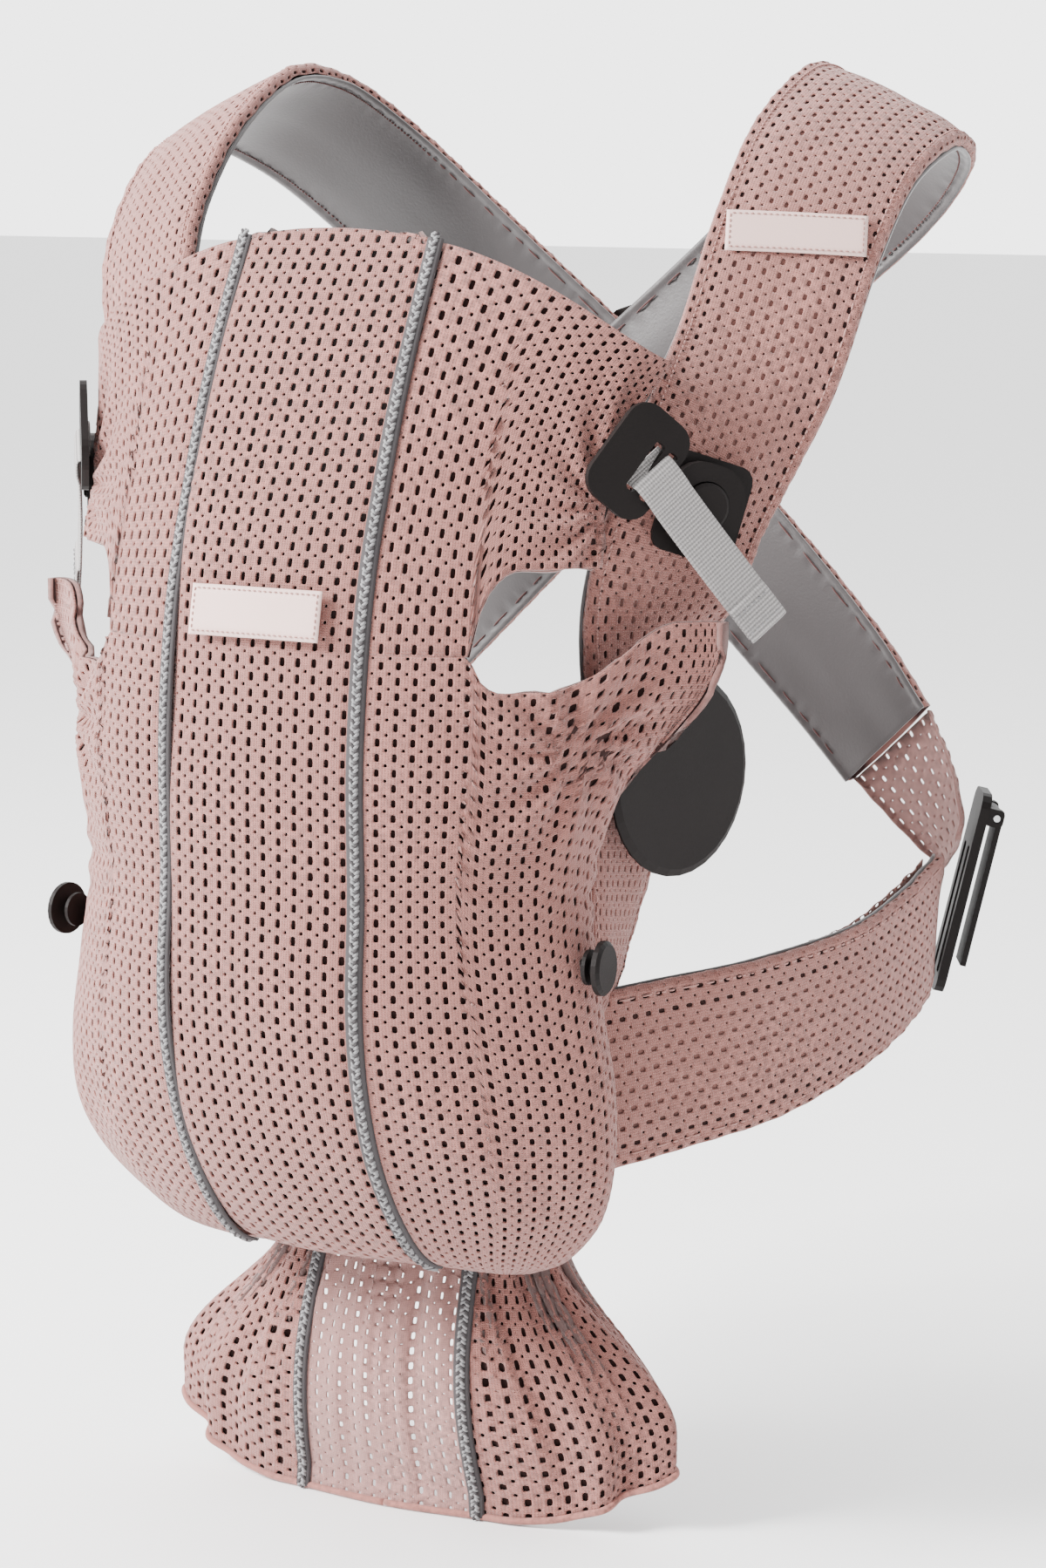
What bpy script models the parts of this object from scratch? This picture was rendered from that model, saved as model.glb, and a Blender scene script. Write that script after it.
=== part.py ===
"""Soft baby carrier: front panel, gathered skirt, shoulder, back and waist straps, clasps and adjusters.

Metres, +Z up. The front of the carrier faces -Y, and the wearer stands behind the panel at +Y.
Everything but the strap label is made for side +1 (the wearer's left, at +X) and mirrored to side -1.
"""

import math

import bmesh
import bpy
import numpy as np
from mathutils import Matrix, Vector

GAP = 0.0004  # clearance between touching pieces
ORIGIN_Y = 0.0055  # everything moves back by this, which brings the origin under the middle

# Front panel: the centre line of its outer face, top to bottom, with the panel's half width there.
PANEL_THICK = 0.005
PANEL_SIDE_Y = -0.062  # where the two sides of the panel face straight outwards
TOP_DROP = 0.051  # how far the top corners hang below the middle of the top edge
FOLD_Z = 0.372  # the panel folds forwards at the height of the arm and leg openings
#                 y       z     half width
PANEL_LINE = [
    (-0.094, 0.533, 0.139),
    (-0.116, 0.490, 0.134),
    (-0.138, 0.440, 0.132),
    (-0.152, 0.395, 0.134),
    (-0.1605, 0.330, 0.137),
    (-0.1610, 0.276, 0.129),
    (-0.1615, 0.235, 0.136),
    (-0.1570, 0.200, 0.144),
    (-0.1480, 0.170, 0.143),
    (-0.1320, 0.143, 0.131),
    (-0.1110, 0.122, 0.108),
    (-0.0830, 0.112, 0.084),
]
OPENING_TOP_Z, OPENING_BOTTOM_Z = 0.405, 0.361
OPENING_TIP = math.radians(39)  # turn around the panel at which the opening begins
UPPER_TURN = math.radians(66)  # the upper panel stops here at the clasp, and further round at its top
CORNER_TURN = math.radians(84)
EAR_TIP = Vector((0.158, -0.070))  # the lower panel's ear, flared over the hip disc
EAR_Z = (0.262, 0.375)
TUCK = Vector((0.0970, -0.0880))  # under the ear the panel's sides are tucked in to here
TUCK_TURN = math.radians(60)
BOTTOM_TUCK = 0.13  # how strongly the sides turn backwards where the panel narrows at its bottom

PIPING_RADIUS = 0.0021
PIPING_X = 0.0445
PIPING_LIFT = 0.0009  # clear of the panel's facets

SKIRT_TOP_Z, SKIRT_THICK = 0.110, 0.004
SKIRT_TURN = math.radians(100)

STRAP_THICK, LINING_THICK = 0.006, 0.0015
BACK_Y = 0.141  # outer face of the back straps where they lie flat
CROSS_Z = 0.443

# Clasp: its own plane beside the panel's upper edge, with p along the panel's turn and q upwards.
CLASP = Vector((0.1425, -0.0600, 0.427))
CLASP_OUT = Vector((0.80, -0.60, 0.0)).normalized()
DRAWN_IN = 0.0055  # the right clasp and the strap under it sit this much nearer the middle
BUTTON_RADIUS = 0.0095
SNAP_TILT = math.radians(-18)
LOCK_CENTRE, LOCK_TILT = (-0.0300, 0.0190), math.radians(-39)
WEB_WIDTH, WEB_THICK = 0.0185, 0.0016
WEB_START, WEB_LONG, WEB_TILT = (-0.0215, 0.0105), 0.074, math.radians(-51)

DISC = Vector((0.1240, -0.0405, 0.317))
DISC_OUT = Vector((0.975, -0.22, 0.0)).normalized()
DISC_RADIUS = 0.041

TOGGLE_Z, TOGGLE_TURN = 0.250, math.radians(62)
TOGGLE_OUT = Vector((0.985, 0.12, 0.0)).normalized()
TOGGLE_RADIUS = 0.0108

# Side adjuster: a tall frame on the wearer's flank with a lever hinged at its top.
ADJUSTER = Vector((0.1720, 0.1255, 0.2490))
ADJUSTER_OUT = Vector((0.866, 0.50, -0.235)).normalized()
ADJUSTER_TALL, ADJUSTER_DEEP, ADJUSTER_THICK = 0.088, 0.030, 0.004
PIN_RADIUS = 0.0015
HINGE_HEIGHT = 0.0038  # the pin's axis above the frame's face
LUG_START, LUG_END = 0.0098, 0.0145  # where each lug stands along the pin, from its middle
EYE_RADIUS = 0.0034
LEVER_LONG, LEVER_THIN = 0.066, 0.0010

PINK, SHADE = (0.60, 0.36, 0.33), (0.48, 0.27, 0.25)
GREY, CHARCOAL, WEB_GREY = (0.40, 0.38, 0.38), (0.055, 0.048, 0.048), (0.55, 0.54, 0.54)
LABEL_PINK, STEEL = (0.80, 0.66, 0.63), (0.5, 0.5, 0.5)


def clear_scene():
    for old in list(bpy.data.objects):
        bpy.data.objects.remove(old, do_unlink=True)


def material(name, colour, roughness, metallic=0.0):
    made = bpy.data.materials.new(name)
    made.use_nodes = True
    shader = made.node_tree.nodes["Principled BSDF"]
    shader.inputs["Base Color"].default_value = (*colour, 1.0)
    shader.inputs["Roughness"].default_value = roughness
    shader.inputs["Metallic"].default_value = metallic
    return made


def add(name, points, faces, colour, roughness=0.8, smooth=True):
    """One closed mesh object, its faces turned outwards."""
    mesh = bpy.data.meshes.new(name)
    mesh.from_pydata([tuple(p) for p in points], [], faces)
    bm = bmesh.new()
    bm.from_mesh(mesh)
    bmesh.ops.remove_doubles(bm, verts=bm.verts, dist=1e-6)
    bmesh.ops.recalc_face_normals(bm, faces=bm.faces)
    bm.to_mesh(mesh)
    bm.free()
    piece = bpy.data.objects.new(name, mesh)
    bpy.context.scene.collection.objects.link(piece)
    piece.data.materials.append(material(name, colour, roughness))
    if smooth:
        mesh.shade_smooth()
        mesh.set_sharp_from_angle(angle=math.radians(35))
    return piece


def sided(name, side):
    return f"{name}_{'l' if side > 0 else 'r'}"


def mirrored(points, side):
    return [Vector((p[0] * side, p[1] + ORIGIN_Y, p[2])) for p in points]


def smooth_line(values, count):
    """Count rows read evenly from a Catmull-Rom curve through the given rows of numbers."""
    v = np.array(values, float)
    v = np.vstack([2 * v[0] - v[1], v, 2 * v[-1] - v[-2]])
    rows = []
    for at in np.linspace(0, len(values) - 1 - 1e-9, count):
        i, f = int(at), at - int(at)
        a, b, c, d = v[i : i + 4]
        rows.append(
            0.5
            * (
                2 * b
                + (c - a) * f
                + (2 * a - 5 * b + 4 * c - d) * f**2
                + (3 * b - a - 3 * c + d) * f**3
            )
        )
    return np.array(rows)


def grid_normals(grid):
    g = np.array(grid, float)
    along, across = np.gradient(g, axis=0), np.gradient(g, axis=1)
    n = np.cross(along, across)
    return n / np.linalg.norm(n, axis=2, keepdims=True)


def shell(name, grid, thick, colour, side=1, roughness=0.85):
    """A closed sheet: the grid is its outer face, and its inner face lies thick behind it."""
    g = np.array(grid, float)
    inner = g - grid_normals(g) * thick
    rows, columns = g.shape[:2]
    points = mirrored(np.concatenate([g.reshape(-1, 3), inner.reshape(-1, 3)]), side)
    base = rows * columns
    faces = []
    for i in range(rows - 1):
        for j in range(columns - 1):
            a, b = i * columns + j, i * columns + j + 1
            c, d = b + columns, a + columns
            faces += [(a, b, c, d), (a + base, d + base, c + base, b + base)]
    rim = [j for j in range(columns)]
    rim += [i * columns + columns - 1 for i in range(1, rows)]
    rim += [(rows - 1) * columns + j for j in range(columns - 2, -1, -1)]
    rim += [i * columns for i in range(rows - 2, 0, -1)]
    for a, b in zip(rim, rim[1:] + rim[:1]):
        faces.append((a, a + base, b + base, b))
    return add(name, points, faces, colour, roughness)


def ribbon(name, route, low, high, colour, side=1, count=20, trim=0.0, first=None, last=None):
    """A strap. Each row of the route is x, y, z, outward normal x, y, z and width; the strap fills
    the depth from low to high below its outer face. First and last are its directions there."""
    rows = smooth_line(route, count)
    points, faces = [], []
    tangents = np.gradient(rows[:, :3], axis=0)
    if first:
        tangents[0] = first
    if last:
        tangents[-1] = last
    for row, tangent in zip(rows, tangents):
        centre, out, along = Vector(row[:3]), Vector(row[3:6]), Vector(tangent).normalized()
        out = (out - along * out.dot(along)).normalized()
        across = along.cross(out) * (row[6] / 2 - trim)
        for depth, way in ((low, -1), (low, 1), (high, 1), (high, -1)):
            points.append(centre + across * way - out * depth)
    for i in range(count - 1):
        a, b, c, d = (4 * i + k for k in range(4))
        faces += [(a, b, b + 4), (a, b + 4, a + 4), (c, d, c + 4), (d, d + 4, c + 4)]
        faces += [(b, c, c + 4, b + 4), (d, a, a + 4, d + 4)]
    faces += [(0, 1, 2, 3), tuple(range(4 * count - 4, 4 * count))]
    return add(name, mirrored(points, side), faces, colour, 0.85)


def tube(name, centres, radius, sides, colour, side=1, roughness=0.6):
    """A round cord along the centres, with flat ends."""
    c = np.array(centres, float)
    tangents = np.gradient(c, axis=0)
    points, faces = [], []
    for p, t in zip(c, tangents):
        along = Vector(t).normalized()
        u = along.cross(Vector((1, 0, 0))).normalized()
        v = along.cross(u)
        for k in range(sides):
            a = 2 * math.pi * k / sides
            points.append(Vector(p) + (u * math.cos(a) + v * math.sin(a)) * radius)
    for i in range(len(c) - 1):
        for k in range(sides):
            a, b = sides * i + k, sides * i + (k + 1) % sides
            faces.append((a, b, b + sides, a + sides))
    faces += [tuple(range(sides)), tuple(range(sides * (len(c) - 1), sides * len(c)))]
    return add(name, mirrored(points, side), faces, colour, roughness)


def frame_of(origin, out, up=(0, 0, 1)):
    """Axes of a flat piece: p across, q up and n outwards."""
    n = Vector(out).normalized()
    p = Vector(up).cross(n).normalized()
    q = n.cross(p)
    return Matrix((p, q, n)).transposed().to_4x4(), Vector(origin)


def prism(name, outline, low, high, frame, colour, side=1, roughness=0.55, hole=None):
    """An outline in p and q, given anticlockwise, filled from n = low to n = high. A hole is an
    outline too, with as many points as the outer one."""
    axes, origin = frame
    count = len(outline)
    loops = []
    for loop in [outline] + ([hole] if hole else []):
        for n in (low, high):
            loops.append([origin + axes.to_3x3() @ Vector((p, q, n)) for p, q in loop])
    points = [p for loop in loops for p in loop]
    faces = []
    for k in range(count):
        j = (k + 1) % count
        faces.append((k, j, count + j, count + k))
        if hole:
            o = 2 * count
            faces.append((o + j, o + k, o + count + k, o + count + j))
            faces.append((k, o + k, o + j, j))
            faces.append((count + k, count + j, o + count + j, o + count + k))
    if not hole:
        faces += [tuple(range(count))[::-1], tuple(range(count, 2 * count))]
    return add(name, mirrored(points, side), faces, colour, roughness)


def circle(radius, count=24, centre=(0, 0), turn=0.0):
    return [
        (
            centre[0] + radius * math.cos(2 * math.pi * k / count + turn),
            centre[1] + radius * math.sin(2 * math.pi * k / count + turn),
        )
        for k in range(count)
    ]


def rounded(width, height, corner, centre=(0, 0), tilt=0.0, steps=4):
    """A rectangle with round corners."""
    made = []
    for k, (sx, sy) in enumerate(((1, 1), (-1, 1), (-1, -1), (1, -1))):
        cx, cy = sx * (width / 2 - corner), sy * (height / 2 - corner)
        for i in range(steps):
            a = math.pi / 2 * (k + i / (steps - 1))
            made.append((cx + corner * math.cos(a), cy + corner * math.sin(a)))
    c, s = math.cos(tilt), math.sin(tilt)
    return [(centre[0] + c * p - s * q, centre[1] + s * p + c * q) for p, q in made]


def boolean(piece, cutter, operation):
    change = piece.modifiers.new(operation.lower(), "BOOLEAN")
    change.operation = operation
    change.object = cutter
    cutter.hide_render = True
    cutter.display_type = "WIRE"


def lathe(name, profile, frame, colour, side=1, sides=24, roughness=0.5):
    """A turned piece: profile rows are radius and n, from the inner end to the outer end."""
    axes, origin = frame
    points, faces = [], []
    for radius, n in profile:
        for p, q in circle(radius, sides):
            points.append(origin + axes.to_3x3() @ Vector((p, q, n)))
    for i in range(len(profile) - 1):
        for k in range(sides):
            a, b = sides * i + k, sides * i + (k + 1) % sides
            faces.append((a, b, b + sides, a + sides))
    last = sides * (len(profile) - 1)
    faces += [tuple(range(sides))[::-1], tuple(range(last, last + sides))]
    return add(name, mirrored(points, side), faces, colour, roughness)


# ---------------------------------------------------------------- front panel


PANEL_ROWS = smooth_line(PANEL_LINE, 200)


def panel_row(z):
    """Front y and half width of the panel at a height."""
    order = np.argsort(PANEL_ROWS[:, 1])
    at = PANEL_ROWS[order]
    return (float(np.interp(z, at[:, 1], at[:, 0])), float(np.interp(z, at[:, 1], at[:, 2])))


def panel_point(z, turn):
    """A point of the panel's outer face. Turn is 0 at the middle and 90 degrees at the side."""
    front, half = panel_row(z)
    return Vector(
        (
            half * math.sin(turn),
            PANEL_SIDE_Y - (PANEL_SIDE_Y - front) * math.cos(turn),
            z,
        )
    )


def ease(x):
    x = min(1.0, max(0.0, x))
    return x * x * (3 - 2 * x)


def rounding(x):
    """A quarter circle's rise: steep at 0 and level from 1."""
    x = min(1.0, max(0.0, x))
    return math.sqrt(1 - (1 - x) ** 2)


def upper_edges(turn):
    """The top edge and the lower edge of the upper panel at a turn."""
    share = abs(math.sin(turn))
    top = PANEL_LINE[0][1] - TOP_DROP * share**2.2
    rise = rounding((abs(turn) - OPENING_TIP) / math.radians(12))
    return top, FOLD_Z + GAP + (OPENING_TOP_Z - FOLD_Z) * rise


def piping_turn(z):
    return math.asin(PIPING_X / panel_row(z)[1])


def stretch(part, z, end):
    """First and last turn of one of the panel's three widths: the middle, or one side of it."""
    seam = piping_turn(z)
    edge = math.radians(0.12)
    return (-seam + edge, seam - edge) if part == "middle" else (seam + edge, end)


def panel_grid(part, rows, columns, z_of, end_of, point_of):
    grid = []
    for down in np.linspace(0, 1, rows):
        row = []
        for across in np.linspace(0, 1, columns):
            z = z_of(down, 0.0)
            for _ in range(3):
                first, last = stretch(part, z, end_of(down))
                turn = first + (last - first) * across
                z = z_of(down, turn)
            row.append(tuple(point_of(z, turn)))
        grid.append(row)
    return grid


def front_upper():
    def z_of(down, turn):
        top, low = upper_edges(turn)
        return top + (low - top) * down

    def end_of(down):
        return UPPER_TURN + (CORNER_TURN - UPPER_TURN) * (1 - down) ** 3

    def point_of(z, turn):
        top, low = upper_edges(turn)
        lift = (PANEL_LINE[0][1] - top) * max(0.0, (z - low) / (top - low)) * 0.55
        point = panel_point(z + lift, turn)
        return Vector((point.x, point.y, z))

    build_panel("front_upper", 12, (9, 13), z_of, end_of, point_of)


def build_panel(name, rows, columns, z_of, end_of, point_of):
    middle = panel_grid("middle", rows, columns[0], z_of, end_of, point_of)
    shell(name + "_middle", middle, PANEL_THICK, PINK)
    for side in (1, -1):
        grid = panel_grid("side", rows, columns[1], z_of, end_of, point_of)
        shell(sided(name, side), grid, PANEL_THICK, PINK, side)


def lower_edge(turn):
    """The upper edge of the lower panel at a turn: level, down into the opening, up to the ear."""
    past = abs(turn) - OPENING_TIP
    dip = (FOLD_Z - OPENING_BOTTOM_Z) * rounding(past / math.radians(7))
    ear = 0.022 * ease((past - math.radians(14)) / math.radians(18))
    return FOLD_Z - GAP - dip + ear


def lower_point(z, turn):
    """The panel's face. Past the tuck turn it runs in to the tuck line, or out to the ear tip."""
    point = panel_point(z, turn)
    level = ease((z - EAR_Z[0]) / (EAR_Z[1] - EAR_Z[0])) ** 1.3
    start = TUCK_TURN - math.radians(12) * level
    share = ease((abs(turn) - start) / (math.pi / 2 - start))
    end = TUCK.lerp(EAR_TIP, level)
    neck = min(1.0, panel_row(z)[1] / 0.130)
    tip = Vector((math.copysign(end.x * neck, turn), end.y + BOTTOM_TUCK * (1 - neck), z))
    return point.lerp(tip, share)


def front_lower():
    bottom = PANEL_LINE[-1][1]

    def z_of(down, turn):
        top = lower_edge(turn)
        return top + (bottom - top) * (1 - (1 - down) ** 1.15)

    def end_of(down):
        return math.pi / 2

    build_panel("front_lower", 20, (9, 17), z_of, end_of, lower_point)


def piping(name, low, high, count, side, point_of):
    """A cord laid on the panel beside its seam."""
    centres = []
    for z in np.linspace(high, low, count):
        x = PIPING_X
        point, out = point_of(z, x)
        centres.append(point + out * (PIPING_RADIUS + PIPING_LIFT))
    tube(sided(name, side), centres, PIPING_RADIUS, 6, WEB_GREY, side)


def panel_at(z, x):
    """The panel's outer face at a height and a distance from the middle, with its normal."""
    front, half = panel_row(z)
    turn = math.asin(x / half)
    point = panel_point(z, turn)
    across = panel_point(z, turn + 0.01) - panel_point(z, turn - 0.01)
    up = panel_point(z + 0.002, turn) - panel_point(z - 0.002, turn)
    out = across.cross(up).normalized()
    return point, out


def labels():
    point, out = panel_at(0.3858, 0.0)
    prism(
        "front_label",
        rounded(0.060, 0.020, 0.001, steps=2),
        0.0036,
        0.0046,
        frame_of(point, out),
        LABEL_PINK,
    )


# ---------------------------------------------------------------- skirt


def skirt_half(down):
    return 0.064 + 0.054 * ease(0.08 + down * 1.15)


def skirt_point(down, turn):
    """The gathered skirt's outer face: a narrow neck under the panel, flared to a wavy hem."""
    half = skirt_half(down)
    front = -0.0575 - 0.010 * math.sin(math.pi * min(1.0, down * 1.1)) - 0.006 * down
    side_y = -0.030
    wave = 0.003 * down * math.cos(9 * turn)
    x = (half + wave) * math.sin(turn)
    y = side_y - (side_y - front) * math.cos(turn) * (1 + wave * 8)
    hem = 0.028 * ease((abs(turn) - math.radians(25)) / math.radians(80))
    return Vector((x, y, SKIRT_TOP_Z + (hem - SKIRT_TOP_Z) * down))


def skirt_seam(down):
    return math.asin((0.036 + 0.008 * down) / skirt_half(down))


def skirt():
    downs = np.linspace(0, 1, 9)
    edge = math.radians(0.15)
    insert = []
    for down in downs:
        seam = skirt_seam(down) - edge
        insert.append([tuple(skirt_point(down, t)) for t in np.linspace(-seam, seam, 13)])
    shell("skirt_insert", insert, SKIRT_THICK / 2, SHADE)
    for side in (1, -1):
        grid = []
        for down in downs:
            turns = np.linspace(skirt_seam(down) + edge, SKIRT_TURN, 19)
            grid.append([tuple(skirt_point(down, t)) for t in turns])
        shell(sided("skirt_side", side), grid, SKIRT_THICK, PINK, side)


def skirt_piping(side):
    centres = []
    for down in np.linspace(0.03, 0.985, 9):
        turn = skirt_seam(down)
        point = skirt_point(down, turn)
        out = (skirt_point(down, turn + 0.01) - skirt_point(down, turn - 0.01)).cross(
            skirt_point(down - 0.01, turn) - skirt_point(down + 0.01, turn)
        )
        centres.append(point + out.normalized() * (PIPING_RADIUS + PIPING_LIFT))
    tube(sided("skirt_piping", side), centres, PIPING_RADIUS, 6, WEB_GREY, side)


# ---------------------------------------------------------------- straps

#        x       y       z     outward normal       width
CHEST_ROUTE = [
    (0.1060, -0.064, 0.236, 1.00, 0.10, 0.0, 0.026),
    (0.1075, -0.057, 0.265, 1.00, 0.00, 0.0, 0.042),
    (0.1115, -0.051, 0.315, 0.98, -0.17, 0.0, 0.060),
    (0.1160, -0.0515, 0.350, 0.98, -0.18, 0.0, 0.063),
    (0.1295, -0.0605, 0.388, 0.82, -0.57, 0.0, 0.066),
    (0.1400, -0.0580, 0.424, 0.80, -0.60, 0.05, 0.066),
    (0.1470, -0.0420, 0.456, 0.70, -0.66, 0.25, 0.066),
    (0.1515, -0.0230, 0.486, 0.52, -0.76, 0.35, 0.067),
    (0.1560, -0.0020, 0.530, 0.40, -0.80, 0.42, 0.068),
    (0.1575, 0.0310, 0.566, 0.40, -0.50, 0.77, 0.070),
    (0.1580, 0.0740, 0.584, 0.42, -0.06, 0.90, 0.072),
]
BACK_ROUTE = [
    (0.1580, 0.0746, 0.5840, 0.42, -0.06, 0.90, 0.072),
    (0.1500, 0.1140, 0.5760, 0.34, 0.62, 0.70, 0.070),
    (0.1220, 0.1370, 0.5480, 0.12, 0.95, 0.30, 0.066),
    (0.0640, 0.1400, 0.4990, 0.00, 1.00, 0.05, 0.063),
    (0.0000, 0.1410, 0.4430, 0.00, 1.00, 0.00, 0.062),
    (-0.0600, 0.1410, 0.3860, -0.04, 1.00, 0.00, 0.060),
    (-0.1080, 0.1400, 0.3390, -0.10, 1.00, 0.00, 0.058),
    (-0.1360, 0.1375, 0.3080, -0.20, 0.98, 0.00, 0.055),
]
END_ROUTE = [
    (-0.1366, 0.1374, 0.3072, -0.20, 0.98, 0.00, 0.053),
    (-0.1530, 0.1345, 0.2880, -0.35, 0.93, 0.00, 0.046),
    (-0.1660, 0.1300, 0.2720, -0.60, 0.80, 0.05, 0.040),
]
WAIST_ROUTE = [
    (0.1000, -0.0700, 0.1920, 0.90, -0.43, 0.0, 0.074),
    (0.1210, -0.0420, 0.1970, 0.88, -0.47, 0.0, 0.072),
    (0.1500, -0.0070, 0.2050, 0.92, -0.38, 0.0, 0.068),
    (0.1710, 0.0380, 0.2170, 0.99, -0.14, 0.0, 0.060),
    (0.1760, 0.0800, 0.2300, 1.00, 0.05, 0.0, 0.055),
    (0.1720, 0.1040, 0.2370, 0.93, 0.36, 0.0, 0.052),
]
SHOULDER_WAY = (0.0, 1.0, 0.0)  # both straps run straight back where they are sewn together
BACK_STEP = 0.0055  # the right back strap passes outside the left one where they cross


def chest_route(side):
    """The strap of side -1 is drawn in around its clasp."""
    made = []
    for x, y, z, *rest in CHEST_ROUTE:
        near = ease((z - 0.300) / 0.080) * ease((0.545 - z) / 0.080) * (side < 0)
        made.append((x - DRAWN_IN * near, y, z, *rest))
    return made


def back_route(side):
    """Where the straps cross, side +1 lies inside and side -1 outside."""
    made = []
    for x, y, z, *rest in BACK_ROUTE:
        near = math.exp(-((x / 0.045) ** 2))
        made.append((x, y - side * BACK_STEP * near, z, *rest))
    return made


def straps(side):
    split = STRAP_THICK + GAP
    pairs = (
        ("chest_strap", chest_route(side), 34, None, SHOULDER_WAY),
        ("back_strap", back_route(side), 28, SHOULDER_WAY, None),
    )
    for name, route, count, first, last in pairs:
        ends = {"side": side, "count": count, "first": first, "last": last}
        ribbon(sided(name, side), route, 0.0, STRAP_THICK, PINK, **ends)
        lining = sided(name + "_lining", side)
        ribbon(lining, route, split, split + LINING_THICK, GREY, trim=0.001, **ends)
    ribbon(sided("strap_end", side), END_ROUTE, 0.001, 0.005, SHADE, side, 7)
    ribbon(sided("waist_strap", side), WAIST_ROUTE, 0.0, 0.0045, PINK, side, 16)
    ribbon(sided("waist_strap_lining", side), WAIST_ROUTE, 0.0049, 0.0064, GREY, side, 16)
    inner = [(*row[:6], row[6] * 0.94) for row in WAIST_ROUTE]
    ribbon(sided("waist_strap_return", side), inner, 0.0095, 0.0135, PINK, side, 16)


def strap_label():
    place, out = chest_place(8)
    prism(
        "strap_label",
        rounded(0.056, 0.018, 0.001, steps=2, tilt=math.radians(-3)),
        0.0016,
        0.0026,
        frame_of(place, out),
        LABEL_PINK,
    )


def chest_place(row):
    """Centre and outward normal of the chest strap's outer face at a row of its route."""
    here, before, after = (Vector(CHEST_ROUTE[row + k][:3]) for k in (0, -1, 1))
    along = (after - before).normalized()
    out = Vector(CHEST_ROUTE[row][3:6])
    return here, (out - along * out.dot(along)).normalized()


def cross_guide():
    """A rounded diamond of plastic that lies over the crossing at the wearer's back."""
    half_wide, half_tall, count = 0.030, 0.050, 20
    outline = []
    for k in range(count):
        across, up = math.sin(-2 * math.pi * k / count), math.cos(2 * math.pi * k / count)
        outline.append((half_wide * across * abs(across) ** 0.2, half_tall * up))
    frame = frame_of((0, BACK_Y + BACK_STEP + 0.0012, CROSS_Z), (0, 1, 0))
    prism("cross_guide", outline, 0.0, 0.003, frame, CHARCOAL)


# ---------------------------------------------------------------- clasp


def clasp_frame(side, height=0.0):
    """The clasp's plane, or one that lies a height above it."""
    origin = CLASP - Vector((DRAWN_IN * (side < 0), 0, 0))
    return frame_of(origin + CLASP_OUT * height, CLASP_OUT)


def clasp(side):
    frame = clasp_frame(side)
    base = rounded(0.036, 0.040, 0.006, centre=(0.001, -0.001), tilt=SNAP_TILT)
    prism(sided("snap_base", side), base, 0.0022, 0.0037, frame, CHARCOAL, side)
    outer = rounded(0.032, 0.034, 0.013, tilt=SNAP_TILT, steps=6)
    hole = circle(BUTTON_RADIUS + 0.0005, 24, turn=SNAP_TILT)
    prism(sided("snap_cover", side), outer, 0.0041, 0.0089, frame, CHARCOAL, side, hole=hole)
    stem = (
        (BUTTON_RADIUS - 0.0002, 0.0062),
        (BUTTON_RADIUS, 0.0070),
        (BUTTON_RADIUS, 0.0098),
        (BUTTON_RADIUS - 0.0012, 0.0105),
    )
    lathe(sided("snap_button", side), stem, frame, CHARCOAL, side)


def ladder_lock(side):
    """A plate with a stitched crescent flange and a slot that the webbing passes through."""
    frame = clasp_frame(side, 0.0090)
    outline = rounded(0.030, 0.043, 0.009, LOCK_CENTRE, LOCK_TILT, steps=6)
    plate = prism(sided("ladder_lock", side), outline, 0.0, 0.003, frame, CHARCOAL, side)
    for k, shift in enumerate((0.0035, 0.0105)):
        c, s = math.cos(LOCK_TILT), math.sin(LOCK_TILT)
        centre = (LOCK_CENTRE[0] + c * shift, LOCK_CENTRE[1] + s * shift)
        slot = rounded(0.0045, 0.022, 0.001, centre, LOCK_TILT, steps=2)
        cutter = prism(f"slot_{side}_{k}", slot, -0.002, 0.006, frame, CHARCOAL, side)
        boolean(plate, cutter, "DIFFERENCE")


def webbing(side):
    """The tail hangs from the ladder lock over the chest strap, and ends in a folded hem."""
    frame = clasp_frame(side, 0.0125)
    half = WEB_LONG / 2
    centre = (
        WEB_START[0] + half * math.cos(WEB_TILT),
        WEB_START[1] + half * math.sin(WEB_TILT),
    )
    outline = rounded(WEB_LONG, WEB_WIDTH, 0.0005, centre, WEB_TILT, steps=2)
    prism(sided("webbing", side), outline, 0.0, WEB_THICK, frame, WEB_GREY, side)


# ---------------------------------------------------------------- hip disc, toggle, adjuster


def hip_disc(side):
    frame = frame_of(DISC, DISC_OUT)
    profile = (
        (DISC_RADIUS - 0.004, 0.0),
        (DISC_RADIUS, 0.001),
        (DISC_RADIUS, 0.002),
        (DISC_RADIUS - 0.003, 0.0035),
    )
    lathe(sided("hip_disc", side), profile, frame, CHARCOAL, side, sides=32)


def toggle(side):
    """A mushroom button through the panel's side, held by a washer inside."""
    place = lower_point(TOGGLE_Z, TOGGLE_TURN)
    frame = frame_of(place + TOGGLE_OUT * 0.0045, TOGGLE_OUT)
    profile = (
        (0.0070, 0.0),
        (0.0070, 0.0016),
        (0.0035, 0.0020),
        (0.0035, 0.0052),
        (TOGGLE_RADIUS, 0.0056),
        (TOGGLE_RADIUS, 0.0076),
        (TOGGLE_RADIUS - 0.0015, 0.0088),
    )
    lathe(sided("toggle", side), profile, frame, CHARCOAL, side)


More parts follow.
